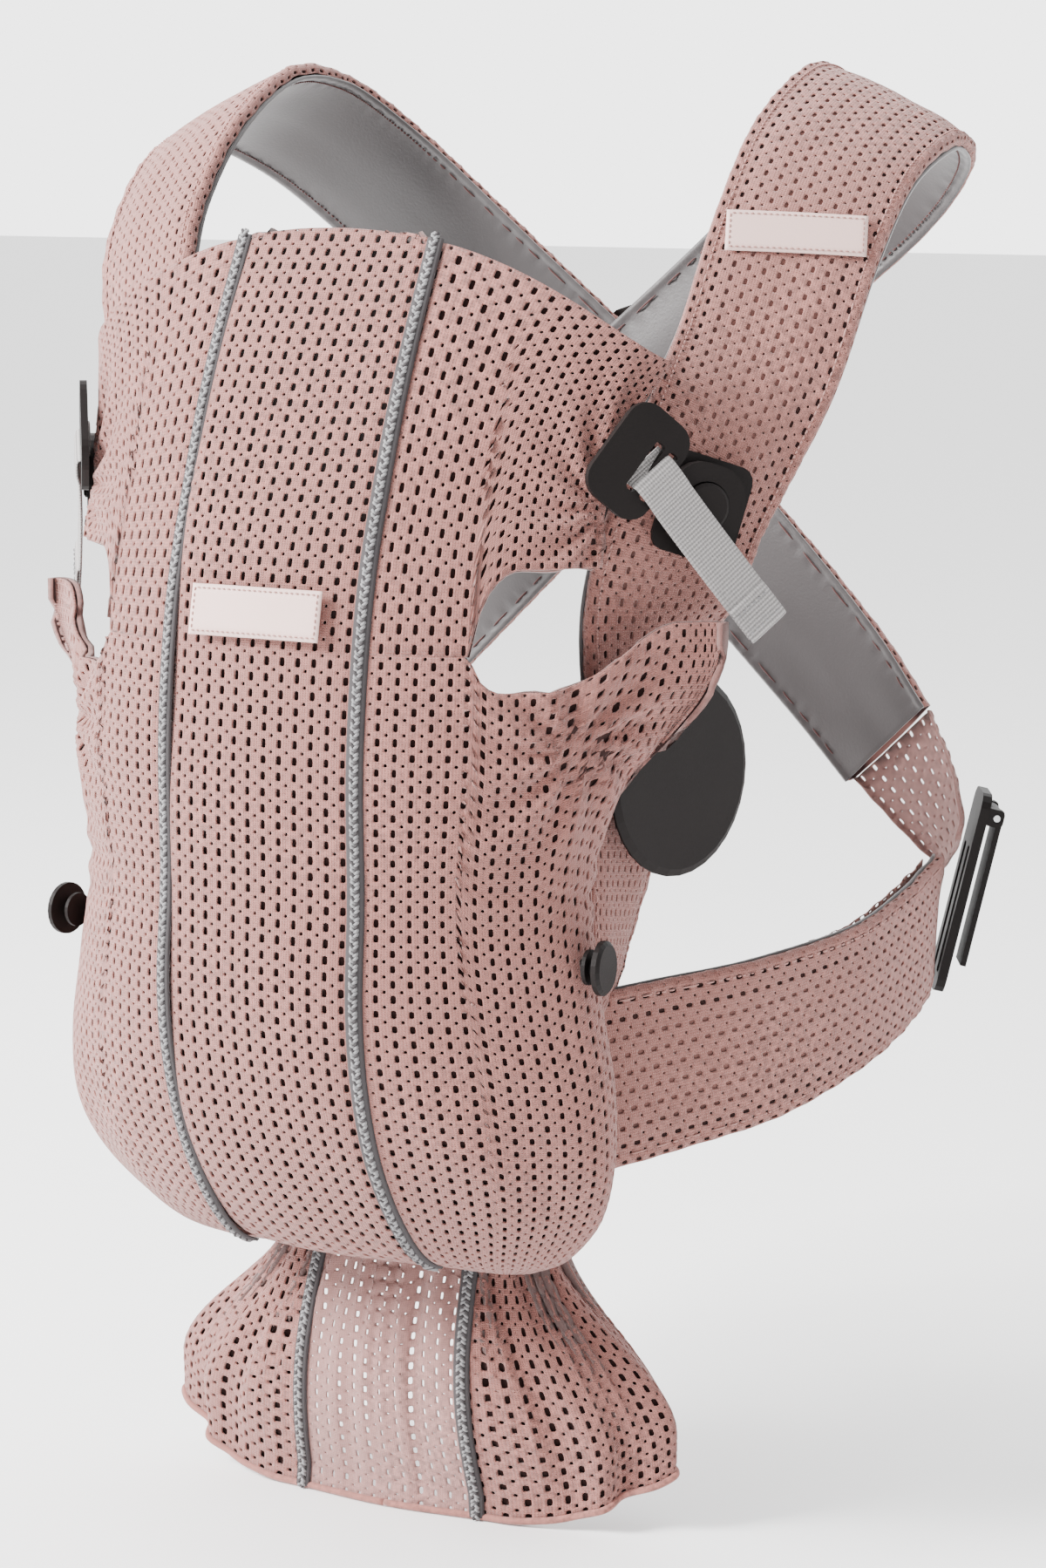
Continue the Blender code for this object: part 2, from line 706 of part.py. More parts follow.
def toggle_washer(side):
    """A flat ring against the panel's inner face, square to the cloth there."""
    thick, step, clear = 0.0012, 0.02, 0.0018
    place = lower_point(TOGGLE_Z, TOGGLE_TURN)
    across = lower_point(TOGGLE_Z, TOGGLE_TURN + step) - lower_point(TOGGLE_Z, TOGGLE_TURN - step)
    up = lower_point(TOGGLE_Z + step / 4, TOGGLE_TURN) - lower_point(TOGGLE_Z - step / 4, TOGGLE_TURN)
    out = across.cross(up).normalized()
    frame = frame_of(place - out * (PANEL_THICK + thick + clear), out)
    profile = ((0.0058, 0.0), (0.0058, thick))
    lathe(sided("toggle_washer", side), profile, frame, CHARCOAL, side, sides=16)


def adjuster_axes():
    """The adjuster's origin and its axes: p backwards, q up and n outwards."""
    axes, origin = frame_of(ADJUSTER, ADJUSTER_OUT)
    local = axes.to_3x3()
    return origin, local.col[0], local.col[1], local.col[2]


def hinge_point():
    origin, _, q, n = adjuster_axes()
    return origin + q * (ADJUSTER_TALL / 2 - 0.009) + n * (ADJUSTER_THICK + HINGE_HEIGHT)


def adjuster_frame(side):
    """A plate with two windows for the straps, and two lugs that hold the lever's pin."""
    _, p, q, _ = adjuster_axes()
    frame = frame_of(ADJUSTER, ADJUSTER_OUT)
    outline = rounded(ADJUSTER_DEEP, ADJUSTER_TALL, 0.006)
    name = sided("adjuster_frame", side)
    plate = prism(name, outline, 0.0, ADJUSTER_THICK, frame, CHARCOAL, side)
    for k, shift in enumerate((-0.0075, 0.0055)):
        slot = rounded(0.006, 0.056, 0.001, (shift, -0.008), steps=2)
        cutter = prism(f"window_{k}_{name}", slot, -0.01, 0.02, frame, CHARCOAL, side)
        boolean(plate, cutter, "DIFFERENCE")
    hinge = hinge_point()
    for k, start in enumerate((-LUG_END, LUG_START)):
        lug_frame = frame_of(hinge, p, up=q)
        lug = rounded(HINGE_HEIGHT + 0.0042, 0.0076, 0.0018, (0.0010, 0.0), steps=3)
        end = start + LUG_END - LUG_START
        body = prism(f"lug_{k}_{name}", lug, start, end, lug_frame, CHARCOAL, side)
        boolean(plate, body, "UNION")
    bore = circle(PIN_RADIUS + GAP, 16)
    drill = prism(f"bore_{name}", bore, -0.03, 0.03, frame_of(hinge, p, up=q), CHARCOAL, side)
    boolean(plate, drill, "DIFFERENCE")


def adjuster_lever(side):
    """A plate hanging from the pin, clear of the frame's face, with an eye around the pin."""
    _, p, q, _ = adjuster_axes()
    frame = frame_of(hinge_point(), p, up=q)
    start = -math.pi + math.acos(LEVER_THIN / EYE_RADIUS)
    arc = [
        (EYE_RADIUS * math.cos(a), EYE_RADIUS * math.sin(a))
        for a in np.linspace(start, math.pi, 14)
    ]
    outline = [(-EYE_RADIUS, -LEVER_LONG), (-LEVER_THIN, -LEVER_LONG), *arc]
    name = sided("adjuster_lever", side)
    half = LUG_START - GAP
    lever = prism(name, outline, -half, half, frame, CHARCOAL, side)
    bore = circle(PIN_RADIUS + GAP, 16)
    boolean(lever, prism(f"eye_{name}", bore, -0.02, 0.02, frame, CHARCOAL, side), "DIFFERENCE")
    pin = ((PIN_RADIUS, -LUG_END), (PIN_RADIUS, LUG_END))
    lathe(sided("adjuster_pin", side), pin, frame, STEEL, side, sides=12)


def main():
    clear_scene()
    front_upper()
    front_lower()
    labels()
    skirt()
    cross_guide()
    strap_label()
    for side in (1, -1):
        piping("piping_upper", FOLD_Z + 0.003, 0.526, 10, side, panel_at)
        piping("piping_lower", 0.1200, FOLD_Z - 0.003, 16, side, panel_at)
        skirt_piping(side)
        straps(side)
        clasp(side)
        ladder_lock(side)
        webbing(side)
        hip_disc(side)
        toggle(side)
        toggle_washer(side)
        adjuster_frame(side)
        adjuster_lever(side)


main()
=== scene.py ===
import math

import bpy
import numpy as np
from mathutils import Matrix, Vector, noise


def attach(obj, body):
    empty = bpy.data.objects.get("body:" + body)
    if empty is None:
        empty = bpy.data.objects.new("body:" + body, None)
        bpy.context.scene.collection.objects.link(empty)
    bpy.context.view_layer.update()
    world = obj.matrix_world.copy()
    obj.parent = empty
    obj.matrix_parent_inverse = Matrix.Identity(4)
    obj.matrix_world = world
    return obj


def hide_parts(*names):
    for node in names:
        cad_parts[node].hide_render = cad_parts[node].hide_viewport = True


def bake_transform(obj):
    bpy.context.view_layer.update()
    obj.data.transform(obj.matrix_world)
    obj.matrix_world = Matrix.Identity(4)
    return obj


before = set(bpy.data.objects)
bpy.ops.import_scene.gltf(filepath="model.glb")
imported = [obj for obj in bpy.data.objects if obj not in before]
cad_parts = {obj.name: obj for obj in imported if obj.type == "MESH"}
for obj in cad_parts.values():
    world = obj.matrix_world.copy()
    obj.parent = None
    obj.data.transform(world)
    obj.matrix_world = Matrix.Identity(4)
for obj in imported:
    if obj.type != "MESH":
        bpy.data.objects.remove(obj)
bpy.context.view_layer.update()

ORIGIN_Y = 0.0055
SIDES = ((1, "l"), (-1, "r"))

# Mesh cloth: two columns make one pitch; wide rows hold the big holes and narrow rows the small ones.
COLUMN = 0.00350
WIDE_ROW, NARROW_ROW = 0.0043, 0.0021
NET_THICK = 0.0011

PINK = (0.298, 0.112, 0.090)
STRAP_PINK = (0.325, 0.131, 0.107)
# Painted shade: this near black stands in for the shadow inside the cloth's holes.
HOLE_PAINTED_SHADE = (0.024, 0.006, 0.005)
GREY_HOLE = (0.045, 0.035, 0.034)
LINING_GREY = (0.052, 0.045, 0.046)
WEB_GREY = (0.360, 0.340, 0.335)
CHARCOAL = (0.0062, 0.0042, 0.0040)
STITCH_RED = (0.070, 0.018, 0.016)
LABEL_PINK = (0.640, 0.440, 0.400)
INNER_PINK = (0.20, 0.085, 0.072)
FINE_PINK = (0.33, 0.165, 0.145)
STRAP_MIDDLE = (0.215, 0.098, 0.084)
# BRAID_DARK_AND_SHADOW colours one strand of the braid, and is painted shadow on the dark tape laid under the
# braid.
BRAID_GREY, BRAID_DARK_AND_SHADOW = (0.215, 0.210, 0.215), (0.045, 0.040, 0.042)
THREAD_PINK = (0.38, 0.19, 0.165)
STEEL_DARK, STEEL_PALE = (0.42, 0.42, 0.43), (0.62, 0.62, 0.63)
FLOOR_WHITE = (0.90, 0.90, 0.90)

# ------------ shape of the frame's cloth

PANEL_SIDE_Y = -0.062
TOP_Z, TOP_DROP = 0.533, 0.051
FOLD_Z = 0.372
PANEL_LINE = [
    (-0.094, 0.533, 0.139),
    (-0.116, 0.490, 0.134),
    (-0.138, 0.440, 0.132),
    (-0.152, 0.395, 0.134),
    (-0.1605, 0.330, 0.137),
    (-0.1610, 0.276, 0.129),
    (-0.1615, 0.235, 0.136),
    (-0.1570, 0.200, 0.144),
    (-0.1480, 0.170, 0.143),
    (-0.1320, 0.143, 0.131),
    (-0.1110, 0.122, 0.108),
    (-0.0830, 0.112, 0.084),
]
OPENING_TOP_Z, OPENING_BOTTOM_Z = 0.405, 0.361
OPENING_TIP = math.radians(39)
UPPER_TURN, CORNER_TURN = math.radians(66), math.radians(84)
EAR_TIP, TUCK = (0.158, -0.070), (0.0970, -0.0880)
EAR_Z = (0.262, 0.375)
TUCK_TURN = math.radians(60)
BOTTOM_TUCK = 0.13
PIPING_X = 0.0445
SKIRT_TOP_Z, SKIRT_TURN = 0.110, math.radians(100)
CLASP = Vector((0.1425, -0.0545, 0.427))
CLASP_OUT = Vector((0.80, -0.60, 0.0))

CHEST_ROUTE = [
    (0.1060, -0.064, 0.236, 1.00, 0.10, 0.0, 0.026),
    (0.1075, -0.057, 0.265, 1.00, 0.00, 0.0, 0.042),
    (0.1115, -0.051, 0.315, 0.98, -0.17, 0.0, 0.060),
    (0.1160, -0.0515, 0.350, 0.98, -0.18, 0.0, 0.063),
    (0.1295, -0.0605, 0.388, 0.82, -0.57, 0.0, 0.066),
    (0.1400, -0.0580, 0.424, 0.80, -0.60, 0.05, 0.066),
    (0.1470, -0.0420, 0.456, 0.70, -0.66, 0.25, 0.066),
    (0.1515, -0.0230, 0.486, 0.52, -0.76, 0.35, 0.067),
    (0.1560, -0.0020, 0.530, 0.40, -0.80, 0.42, 0.068),
    (0.1575, 0.0310, 0.566, 0.40, -0.50, 0.77, 0.070),
    (0.1580, 0.0740, 0.584, 0.42, -0.06, 0.90, 0.072),
]
BACK_ROUTE = [
    (0.1580, 0.0746, 0.5840, 0.42, -0.06, 0.90, 0.072),
    (0.1500, 0.1140, 0.5760, 0.34, 0.62, 0.70, 0.070),
    (0.1220, 0.1370, 0.5480, 0.12, 0.95, 0.30, 0.066),
    (0.0640, 0.1400, 0.4990, 0.00, 1.00, 0.05, 0.063),
    (0.0000, 0.1410, 0.4430, 0.00, 1.00, 0.00, 0.062),
    (-0.0600, 0.1410, 0.3860, -0.04, 1.00, 0.00, 0.060),
    (-0.1080, 0.1400, 0.3390, -0.10, 1.00, 0.00, 0.058),
    (-0.1360, 0.1375, 0.3080, -0.20, 0.98, 0.00, 0.055),
]
END_ROUTE = [
    (-0.1366, 0.1374, 0.3072, -0.20, 0.98, 0.00, 0.053),
    (-0.1530, 0.1345, 0.2880, -0.35, 0.93, 0.00, 0.046),
    (-0.1660, 0.1300, 0.2720, -0.60, 0.80, 0.05, 0.040),
    (-0.1705, 0.1262, 0.2630, -0.75, 0.66, 0.05, 0.036),
]
WAIST_ROUTE = [
    (0.1000, -0.0700, 0.1920, 0.90, -0.43, 0.0, 0.074),
    (0.1210, -0.0420, 0.1970, 0.88, -0.47, 0.0, 0.072),
    (0.1500, -0.0070, 0.2050, 0.92, -0.38, 0.0, 0.068),
    (0.1710, 0.0380, 0.2170, 0.99, -0.14, 0.0, 0.060),
    (0.1760, 0.0800, 0.2300, 1.00, 0.05, 0.0, 0.055),
    (0.1720, 0.1040, 0.2370, 0.93, 0.36, 0.0, 0.052),
    (0.1670, 0.1185, 0.2430, 0.86, 0.50, -0.1, 0.048),
]
DRAWN_IN = 0.0055
BACK_STEP = 0.0055

# Ends that the frame's straps don't have, so that the cloth meets the panel.
CHEST_TUCKED_END = (0.1000, -0.0820, 0.2160, 0.97, -0.20, 0.0, 0.022)
WAIST_TUCKED_END = (0.0925, -0.0800, 0.1905, 0.90, -0.43, 0.0, 0.074)

CORE_DEEP, CORE_THICK = 0.0019, 0.0026
SIDE_NET = {"scale": 0.88, "big": (0.31, 0.42)}
STRAP_NET = {"scale": 0.92, "big": (0.27, 0.36), "small": (0.17, 0.28)}
BRAID_WIDE, BRAID_DEEP, STRAND, BRAID_PITCH = 0.00135, 0.00060, 0.00068, 0.0046
BRAID_LIFT, SKIRT_BRAID_LIFT = 0.0022, 0.0016
SKIRT_NECK, SKIRT_SPREAD, SKIRT_SIDE_Y, SKIRT_FRONT_Y = 0.064, 0.054, -0.030, -0.0575
SEAM_GAP = 0.0026
WEB_START, WEB_TILT = (-0.0215, 0.0105), math.radians(-51)
WEB_WIDE, WEB_THICK = 0.0190, 0.0015

CAMERA_AZIMUTH, CAMERA_ELEVATION = math.radians(30), math.radians(9)
CAMERA_FAR, CAMERA_TARGET = 1.8, Vector((0.030, 0.0055, 0.300))
CAMERA_LENS, CAMERA_SENSOR = 98.7, 36.0
FLOOR_HALF, FLOOR_Z = 14, -0.0008
# The surroundings are brighter behind the object, and dimmer before its +X side.
BRIGHT_WAY, BRIGHT_RANGE = (-0.60, 0.80, 0.0), (-0.6, 0.8, 0.85, 3.8)

# ------------ materials


def shader_of(name, roughness, sheen=0.0):
    made = bpy.data.materials.new(name)
    made.use_nodes = True
    shader = made.node_tree.nodes["Principled BSDF"]
    shader.inputs["Roughness"].default_value = roughness
    shader.inputs["Sheen Weight"].default_value = sheen
    shader.inputs["Sheen Roughness"].default_value = 0.5
    return made, made.node_tree, shader


def node(tree, kind, **values):
    made = tree.nodes.new(kind)
    for name, value in values.items():
        if name.startswith("in_"):
            made.inputs[name[3:].replace("_", " ")].default_value = value
        else:
            setattr(made, name, value)
    return made


def link(tree, source, target):
    tree.links.new(source, target)


def scaled_noise(tree, source, scale, detail=2.0):
    made = node(tree, "ShaderNodeTexNoise", in_Scale=scale, in_Detail=detail)
    link(tree, source, made.inputs["Vector"])
    return made.outputs["Fac"]


def mixed(tree, factor, first, second):
    made = node(tree, "ShaderNodeMix", data_type="RGBA")
    if factor is not None:
        link(tree, factor, made.inputs[0])
    for socket, colour in ((made.inputs[6], first), (made.inputs[7], second)):
        if isinstance(colour, tuple):
            socket.default_value = (*colour, 1.0)
        else:
            link(tree, colour, socket)
    return made.outputs[2]


def sum_of(tree, first, second, operation="ADD"):
    made = node(tree, "ShaderNodeMath", operation=operation)
    for socket, value in zip(made.inputs, (first, second)):
        if isinstance(value, (int, float)):
            socket.default_value = value
        else:
            link(tree, value, socket)
    return made.outputs[0]


def ramp(tree, source, stops):
    made = node(tree, "ShaderNodeValToRGB")
    link(tree, source, made.inputs[0])
    elements = made.color_ramp.elements
    while len(elements) < len(stops):
        elements.new(0.5)
    for element, (at, colour) in zip(elements, stops):
        element.position = at
        element.color = (*colour, 1.0) if isinstance(colour, tuple) else (colour,) * 3 + (1.0,)
    return made.outputs[0]


def waves(tree, uv, pitch, direction, distort=0.0):
    """Ridges across the cloth's own coordinates, in metres."""
    scale = 2 * math.pi / pitch / 20
    made = node(tree, "ShaderNodeTexWave", bands_direction=direction, in_Scale=scale)
    made.inputs["Distortion"].default_value = distort
    made.inputs["Detail Scale"].default_value = 200.0
    link(tree, uv, made.inputs["Vector"])
    return made.outputs["Fac"]


def bumped(tree, shader, height, distance):
    made = node(tree, "ShaderNodeBump", in_Strength=1.0, in_Distance=distance)
    link(tree, height, made.inputs["Height"])
    link(tree, made.outputs["Normal"], shader.inputs["Normal"])


def knit(name, colour, light=1.18, wale=0.0011, course=0.0009, depth=0.00035, sheen=0.25):
    """Warp knit: rows of small loops, with a painted highlight on their crowns and painted shade between them.
    """
    made, tree, shader = shader_of(name, 0.82, sheen)
    uv = node(tree, "ShaderNodeTexCoord").outputs["UV"]
    place = node(tree, "ShaderNodeTexCoord").outputs["Object"]
    loops = sum_of(tree, waves(tree, uv, wale, "X", 1.2), waves(tree, uv, course, "Y", 0.8), "MULTIPLY")
    cloud = scaled_noise(tree, place, 14.0)
    # Painted highlight on the loops' crowns and painted shade between them, set by light and deep.
    crown_highlight = tuple(min(1.0, c * light) for c in colour)
    deep = tuple(c * 0.72 for c in colour)
    loop_highlight_and_shade = mixed(tree, loops, deep, crown_highlight)
    fleck = scaled_noise(tree, place, 420.0)
    dull, fresh = tuple(c * 0.55 for c in colour), tuple(min(1.0, c * 1.40) for c in colour)
    flecked = mixed(tree, ramp(tree, fleck, [(0.36, 0.0), (0.64, 1.0)]), dull, fresh)
    worn = mixed(tree, ramp(tree, cloud, [(0.35, 0.0), (0.65, 1.0)]), tuple(c * 0.93 for c in colour), flecked)
    both = mixed(tree, None, loop_highlight_and_shade, worn)
    both.node.inputs[0].default_value = 0.65
    link(tree, both, shader.inputs["Base Color"])
    bumped(tree, shader, loops, depth)
    return made


def plain(name, colour, roughness, grain, depth, sheen=0.0, spots=0.12, shine=0.5):
    """A fine-grained surface with a little uneven colour."""
    made, tree, shader = shader_of(name, roughness, sheen)
    shader.inputs["Specular IOR Level"].default_value = shine
    place = node(tree, "ShaderNodeTexCoord").outputs["Object"]
    fine = scaled_noise(tree, place, grain, 3.0)
    broad = scaled_noise(tree, place, 30.0)
    low = tuple(c * (1 - spots) for c in colour)
    high = tuple(min(1.0, c * (1 + spots)) for c in colour)
    link(tree, mixed(tree, broad, low, high), shader.inputs["Base Color"])
    rough = sum_of(tree, sum_of(tree, fine, 0.16, "MULTIPLY"), roughness - 0.08)
    link(tree, rough, shader.inputs["Roughness"])
    bumped(tree, shader, fine, depth)
    return made


def ribbed(name, colour, across, along, depth, roughness=0.75, sheen=0.1):
    """A woven tape: ribs across it, crossed by finer lengthwise yarns, with painted shade in the grooves
    between the ribs.
    """
    made, tree, shader = shader_of(name, roughness, sheen)
    uv = node(tree, "ShaderNodeTexCoord").outputs["UV"]
    ribs = waves(tree, uv, along, "Y")
    yarns = waves(tree, uv, across, "X")
    both = sum_of(tree, ribs, sum_of(tree, yarns, 0.6, "MULTIPLY"))
    # Painted shade in the grooves between the ribs.
    groove_shade = tuple(c * 0.55 for c in colour)
    link(tree, mixed(tree, ribs, groove_shade, colour), shader.inputs["Base Color"])
    bumped(tree, shader, both, depth)
    return made


def core_material(name, edge, middle, stops, upwards=False):
    """What shows through the holes: its colour changes across the cloth, or up it, between edge, which is
    painted shade, and middle.
    """
    made, tree, shader = shader_of(name, 0.95)
    uv = node(tree, "ShaderNodeTexCoord").outputs["UV"]
    split = node(tree, "ShaderNodeSeparateXYZ")
    link(tree, uv, split.inputs[0])
    reading = split.outputs[1 if upwards else 0]
    place = node(tree, "ShaderNodeTexCoord").outputs["Object"]
    cloud = sum_of(tree, scaled_noise(tree, place, 120.0), 0.10, "MULTIPLY")
    position = sum_of(tree, sum_of(tree, reading, cloud), -0.05)
    factor = ramp(tree, position, stops)
    # edge is painted shade; middle is the real colour behind the holes, or the same painted shade.
    link(tree, mixed(tree, factor, edge, middle), shader.inputs["Base Color"])
    return made


def materials():
    steel, tree, shader = shader_of("steel", 0.28)
    shader.inputs["Metallic"].default_value = 1.0
    place = node(tree, "ShaderNodeTexCoord").outputs["Object"]
    tone = scaled_noise(tree, place, 300.0)
    link(tree, mixed(tree, tone, STEEL_DARK, STEEL_PALE), shader.inputs["Base Color"])
    # Stops across the cloth: painted shade at both sides, the middle colour between them.
    shade_at_sides_band = [(0.20, 0.0), (0.30, 1.0), (0.70, 1.0), (0.80, 0.0)]
    return {
        "pink": knit("pink_mesh", PINK),
        "strap": knit("pink_mesh_strap", STRAP_PINK, depth=0.0003),
        "inner": knit("pink_mesh_inner", INNER_PINK, light=1.1),
        "fine": knit("fine_mesh", FINE_PINK, wale=0.0008, course=0.0007, depth=0.0002),
        # Painted shade all over, behind the holes of the panel's sides and the skirt's sides.
        "core_painted_shade": core_material("behind_panel_painted_shade", HOLE_PAINTED_SHADE, HOLE_PAINTED_SHADE, shade_at_sides_band),
        # Painted shade low down, turning upwards into the real grey of the lining near the top.
        "grey_lining_and_painted_shade": core_material("behind_top_grey_and_painted_shade", HOLE_PAINTED_SHADE, GREY_HOLE, [(0.66, 0.0), (0.80, 1.0)], True),
        # Painted shade at the strap's sides, its real dusty pink in the middle.
        "strap_core_and_painted_shade": core_material("behind_strap_painted_shade_sides", HOLE_PAINTED_SHADE, STRAP_MIDDLE, shade_at_sides_band),
        "lining": plain("grey_satin", LINING_GREY, 0.48, 900.0, 0.0001, 0.5),
        "web": ribbed("grey_webbing", WEB_GREY, 0.0012, 0.0016, 0.0003),
        "braid": plain("grey_braid", BRAID_GREY, 0.8, 2500.0, 0.0001, 0.1, 0.30),
        # One darker braid strand, and painted shadow on the tape under the braid.
        "dark_strand_and_painted_shadow": plain("dark_strand_and_painted_shadow", BRAID_DARK_AND_SHADOW, 0.9, 2500.0, 0.0001, 0.0, 0.2),
        "label": plain("label_tape", LABEL_PINK, 0.62, 1500.0, 0.00006, 0.1, 0.04),
        "plastic": plain("charcoal_plastic", CHARCOAL, 0.56, 2200.0, 0.00005, 0.0, 0.25, 0.15),
        "thread": plain("pink_thread", THREAD_PINK, 0.8, 3000.0, 0.00005, 0.2),
        "red_thread": plain("red_thread", STITCH_RED, 0.8, 3000.0, 0.00005, 0.2),
        "steel": steel,
    }


LOOKS = materials()

# ------------ meshes


def add(name, points, faces, look, body, stands=(), uv=None, thick=0.0, second=None):
    """One piece. A thickness turns a sheet into a closed skin lying behind its own face."""
    mesh = bpy.data.meshes.new(name)
    mesh.from_pydata(np.asarray(points, float).tolist(), [], faces)
    if uv is not None:
        layer = mesh.uv_layers.new(name="cloth")
        index = np.empty(len(mesh.loops), np.int32)
        mesh.loops.foreach_get("vertex_index", index)
        layer.data.foreach_set("uv", np.asarray(uv, np.float32)[index].ravel())
    mesh.materials.append(LOOKS[look])
    mesh.shade_smooth()
    piece = bpy.data.objects.new(name, mesh)
    bpy.context.scene.collection.objects.link(piece)
    if thick:
        change = piece.modifiers.new("thickness", "SOLIDIFY")
        change.thickness = thick
        change.offset = -1.0
        if second:
            mesh.materials.append(LOOKS[second])
            change.material_offset = 1
            change.material_offset_rim = 1
    if body:
        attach(piece, body)
    if stands:
        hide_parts(*stands)
    return piece


def smooth_line(values, count):
    """Rows read evenly from a Catmull-Rom curve through the given rows."""
    v = np.array(values, float)
    v = np.vstack([2 * v[0] - v[1], v, 2 * v[-1] - v[-2]])
    at = np.linspace(0, len(values) - 1 - 1e-9, count)
    i = at.astype(int)
    f = (at - i)[:, None]
    a, b, c, d = (v[i + k] for k in range(4))
    cubic = (2 * a - 5 * b + 4 * c - d) * f**2 + (3 * b - a - 3 * c + d) * f**3
    return 0.5 * (2 * b + (c - a) * f + cubic)


def ease(x):
    x = np.clip(x, 0.0, 1.0)
    return x * x * (3 - 2 * x)


def rounding(x):
    """A quarter circle's rise: steep at 0 and level from 1."""
    return np.sqrt(1 - (1 - np.clip(x, 0.0, 1.0)) ** 2)


def unit(v):
    return v / np.maximum(np.linalg.norm(v, axis=-1, keepdims=True), 1e-12)


def grid_faces(rows, columns):
    at = np.arange(rows * columns).reshape(rows, columns)
    corners = (at[:-1, :-1], at[:-1, 1:], at[1:, 1:], at[1:, :-1])
    return np.stack([c.ravel() for c in corners], 1).tolist()


def net(wide, tall, seed=1, scale=1.0, big=(0.34, 0.44), small=(0.21, 0.36), border=0):
    """A perforated sheet over the unit square, wide by tall metres when it is flat.
    Returns the places in the square and the faces."""
    rng = np.random.default_rng(seed)
    columns = max(4, 2 * round(wide / COLUMN / scale / 2))
    pairs = max(2, round(tall / (WIDE_ROW + NARROW_ROW) / scale))
    heights = np.tile([WIDE_ROW, NARROW_ROW], pairs)
    lines = np.concatenate([[0], np.cumsum(heights)]) / heights.sum()
    across = np.linspace(0, 1, columns + 1)
    places = [(a, b) for b in lines for a in across]
    faces = []
    ring = [(math.cos(k * math.pi / 4), math.sin(k * math.pi / 4)) for k in range(8)]
    square = [1.0, 1.22, 1.0, 1.22, 1.0, 1.22, 1.0, 1.22]
    for j in range(2 * pairs):
        wide_row = j % 2 == 0
        for i in range(columns):
            a, b = j * (columns + 1) + i, j * (columns + 1) + i + 1
            c, d = b + columns + 1, a + columns + 1
            solid = (i % 2 == 0) != wide_row
            solid = solid or i < border or i >= columns - border
            if solid:
                faces.append((a, b, c, d))
                continue
            middle = ((across[i] + across[i + 1]) / 2, (lines[j] + lines[j + 1]) / 2)
            size = big if wide_row else small
            width = size[0] / columns * rng.uniform(0.88, 1.10)
            height = size[1] * (lines[j + 1] - lines[j]) * rng.uniform(0.90, 1.06)
            first = len(places)
            for (x, y), stretch in zip(ring, square):
                grow = stretch if wide_row else 1.0
                places.append((middle[0] + x * width * grow, middle[1] + y * height * min(grow, 1.12)))
            east, ne, north, nw, west, sw, south, se = range(first, first + 8)
            faces += [(b, c, ne, east, se), (c, d, nw, north, ne)]
            faces += [(d, a, sw, west, nw), (a, b, se, south, sw)]
    return np.array(places), faces


def normals_of(surface, a, b, step=0.004):
    """Outward unit normals of a surface given as a function of two coordinates."""
    along_a = surface(np.clip(a + step, 0, 1), b) - surface(np.clip(a - step, 0, 1), b)
    along_b = surface(a, np.clip(b + step, 0, 1)) - surface(a, np.clip(b - step, 0, 1))
    return unit(np.cross(along_a, along_b))


def flat_size(surface):
    """Width and length of a surface, measured through its middle."""
    at = np.linspace(0, 1, 60)
    half = np.full(60, 0.5)
    wide = np.linalg.norm(np.diff(surface(at, half), axis=0), axis=1).sum()
    tall = np.linalg.norm(np.diff(surface(half, at), axis=0), axis=1).sum()
    return float(wide), float(tall)


def mirror(points, side):
    return points * np.array([side, 1.0, 1.0])


def turned(faces, side):
    """Faces keep facing outwards when their points are mirrored."""
    return faces if side > 0 else [tuple(f)[::-1] for f in faces]


def mesh_skin(name, surface, side, look, body, slot, stands=(), seed=1, thick=NET_THICK, **holes):
    """Mesh cloth over a surface function of a (across) and b (upwards)."""
    wide, tall = flat_size(surface)
    places, faces = net(wide, tall, seed, **holes)
    points = surface(places[:, 0], places[:, 1])
    uv = places * np.array([wide, tall])
    return add(name, mirror(points, side), turned(faces, side), look, body, stands, uv, thick)


def sheet_skin(name, surface, side, look, body, size, stands=(), thick=0.001, second=None, deep=0.0):
    """A plain sheet over the same kind of surface, deep below it."""
    rows, columns = size
    b, a = (x.ravel() for x in np.meshgrid(np.linspace(0, 1, rows), np.linspace(0, 1, columns), indexing="ij"))
    points = surface(a, b)
    if deep:
        points = points - normals_of(surface, a, b) * deep
    uv = np.stack([a, b], 1)
    faces = turned(grid_faces(rows, columns), side)
    return add(name, mirror(points, side), faces, look, body, stands, uv, thick, second)


def tube_faces(rings, sides):
    """Faces of a closed tube whose points come ring by ring."""
    faces = []
    for i in range(rings - 1):
        for k in range(sides):
            a, b = i * sides + k, i * sides + (k + 1) % sides
            faces.append((a, b, b + sides, a + sides))
    faces.append(tuple(range(sides))[::-1])
    faces.append(tuple(range(rings * sides - sides, rings * sides)))
    return faces


def cord_mesh(centres, radius, sides):
    """Points and faces of a round cord along the centres, closed at both ends."""
    c = np.asarray(centres, float)
    along = unit(np.gradient(c, axis=0))
    reference = np.array([1.0, 0.0, 0.0]) if abs(along[0][0]) < 0.8 else np.array([0.0, 0.0, 1.0])
    u = np.empty_like(c)
    current = unit(np.cross(along[0], reference))
    for k, direction in enumerate(along):
        current = unit(current - direction * float(current @ direction))
        u[k] = current
    v = np.cross(along, u)
    angles = np.linspace(0, 2 * math.pi, sides, endpoint=False)
    ring = u[:, None] * np.cos(angles)[None, :, None] + v[:, None] * np.sin(angles)[None, :, None]
    points = (c[:, None] + ring * np.asarray(radius).reshape(-1, 1, 1)).reshape(-1, 3)
    return points, tube_faces(len(c), sides)


def joined(parts):
    points, faces, base = [], [], 0
    for p, f in parts:
        points.append(p)
        faces += [tuple(int(k) + base for k in face) for face in f]
        base += len(p)
    return np.concatenate(points), faces


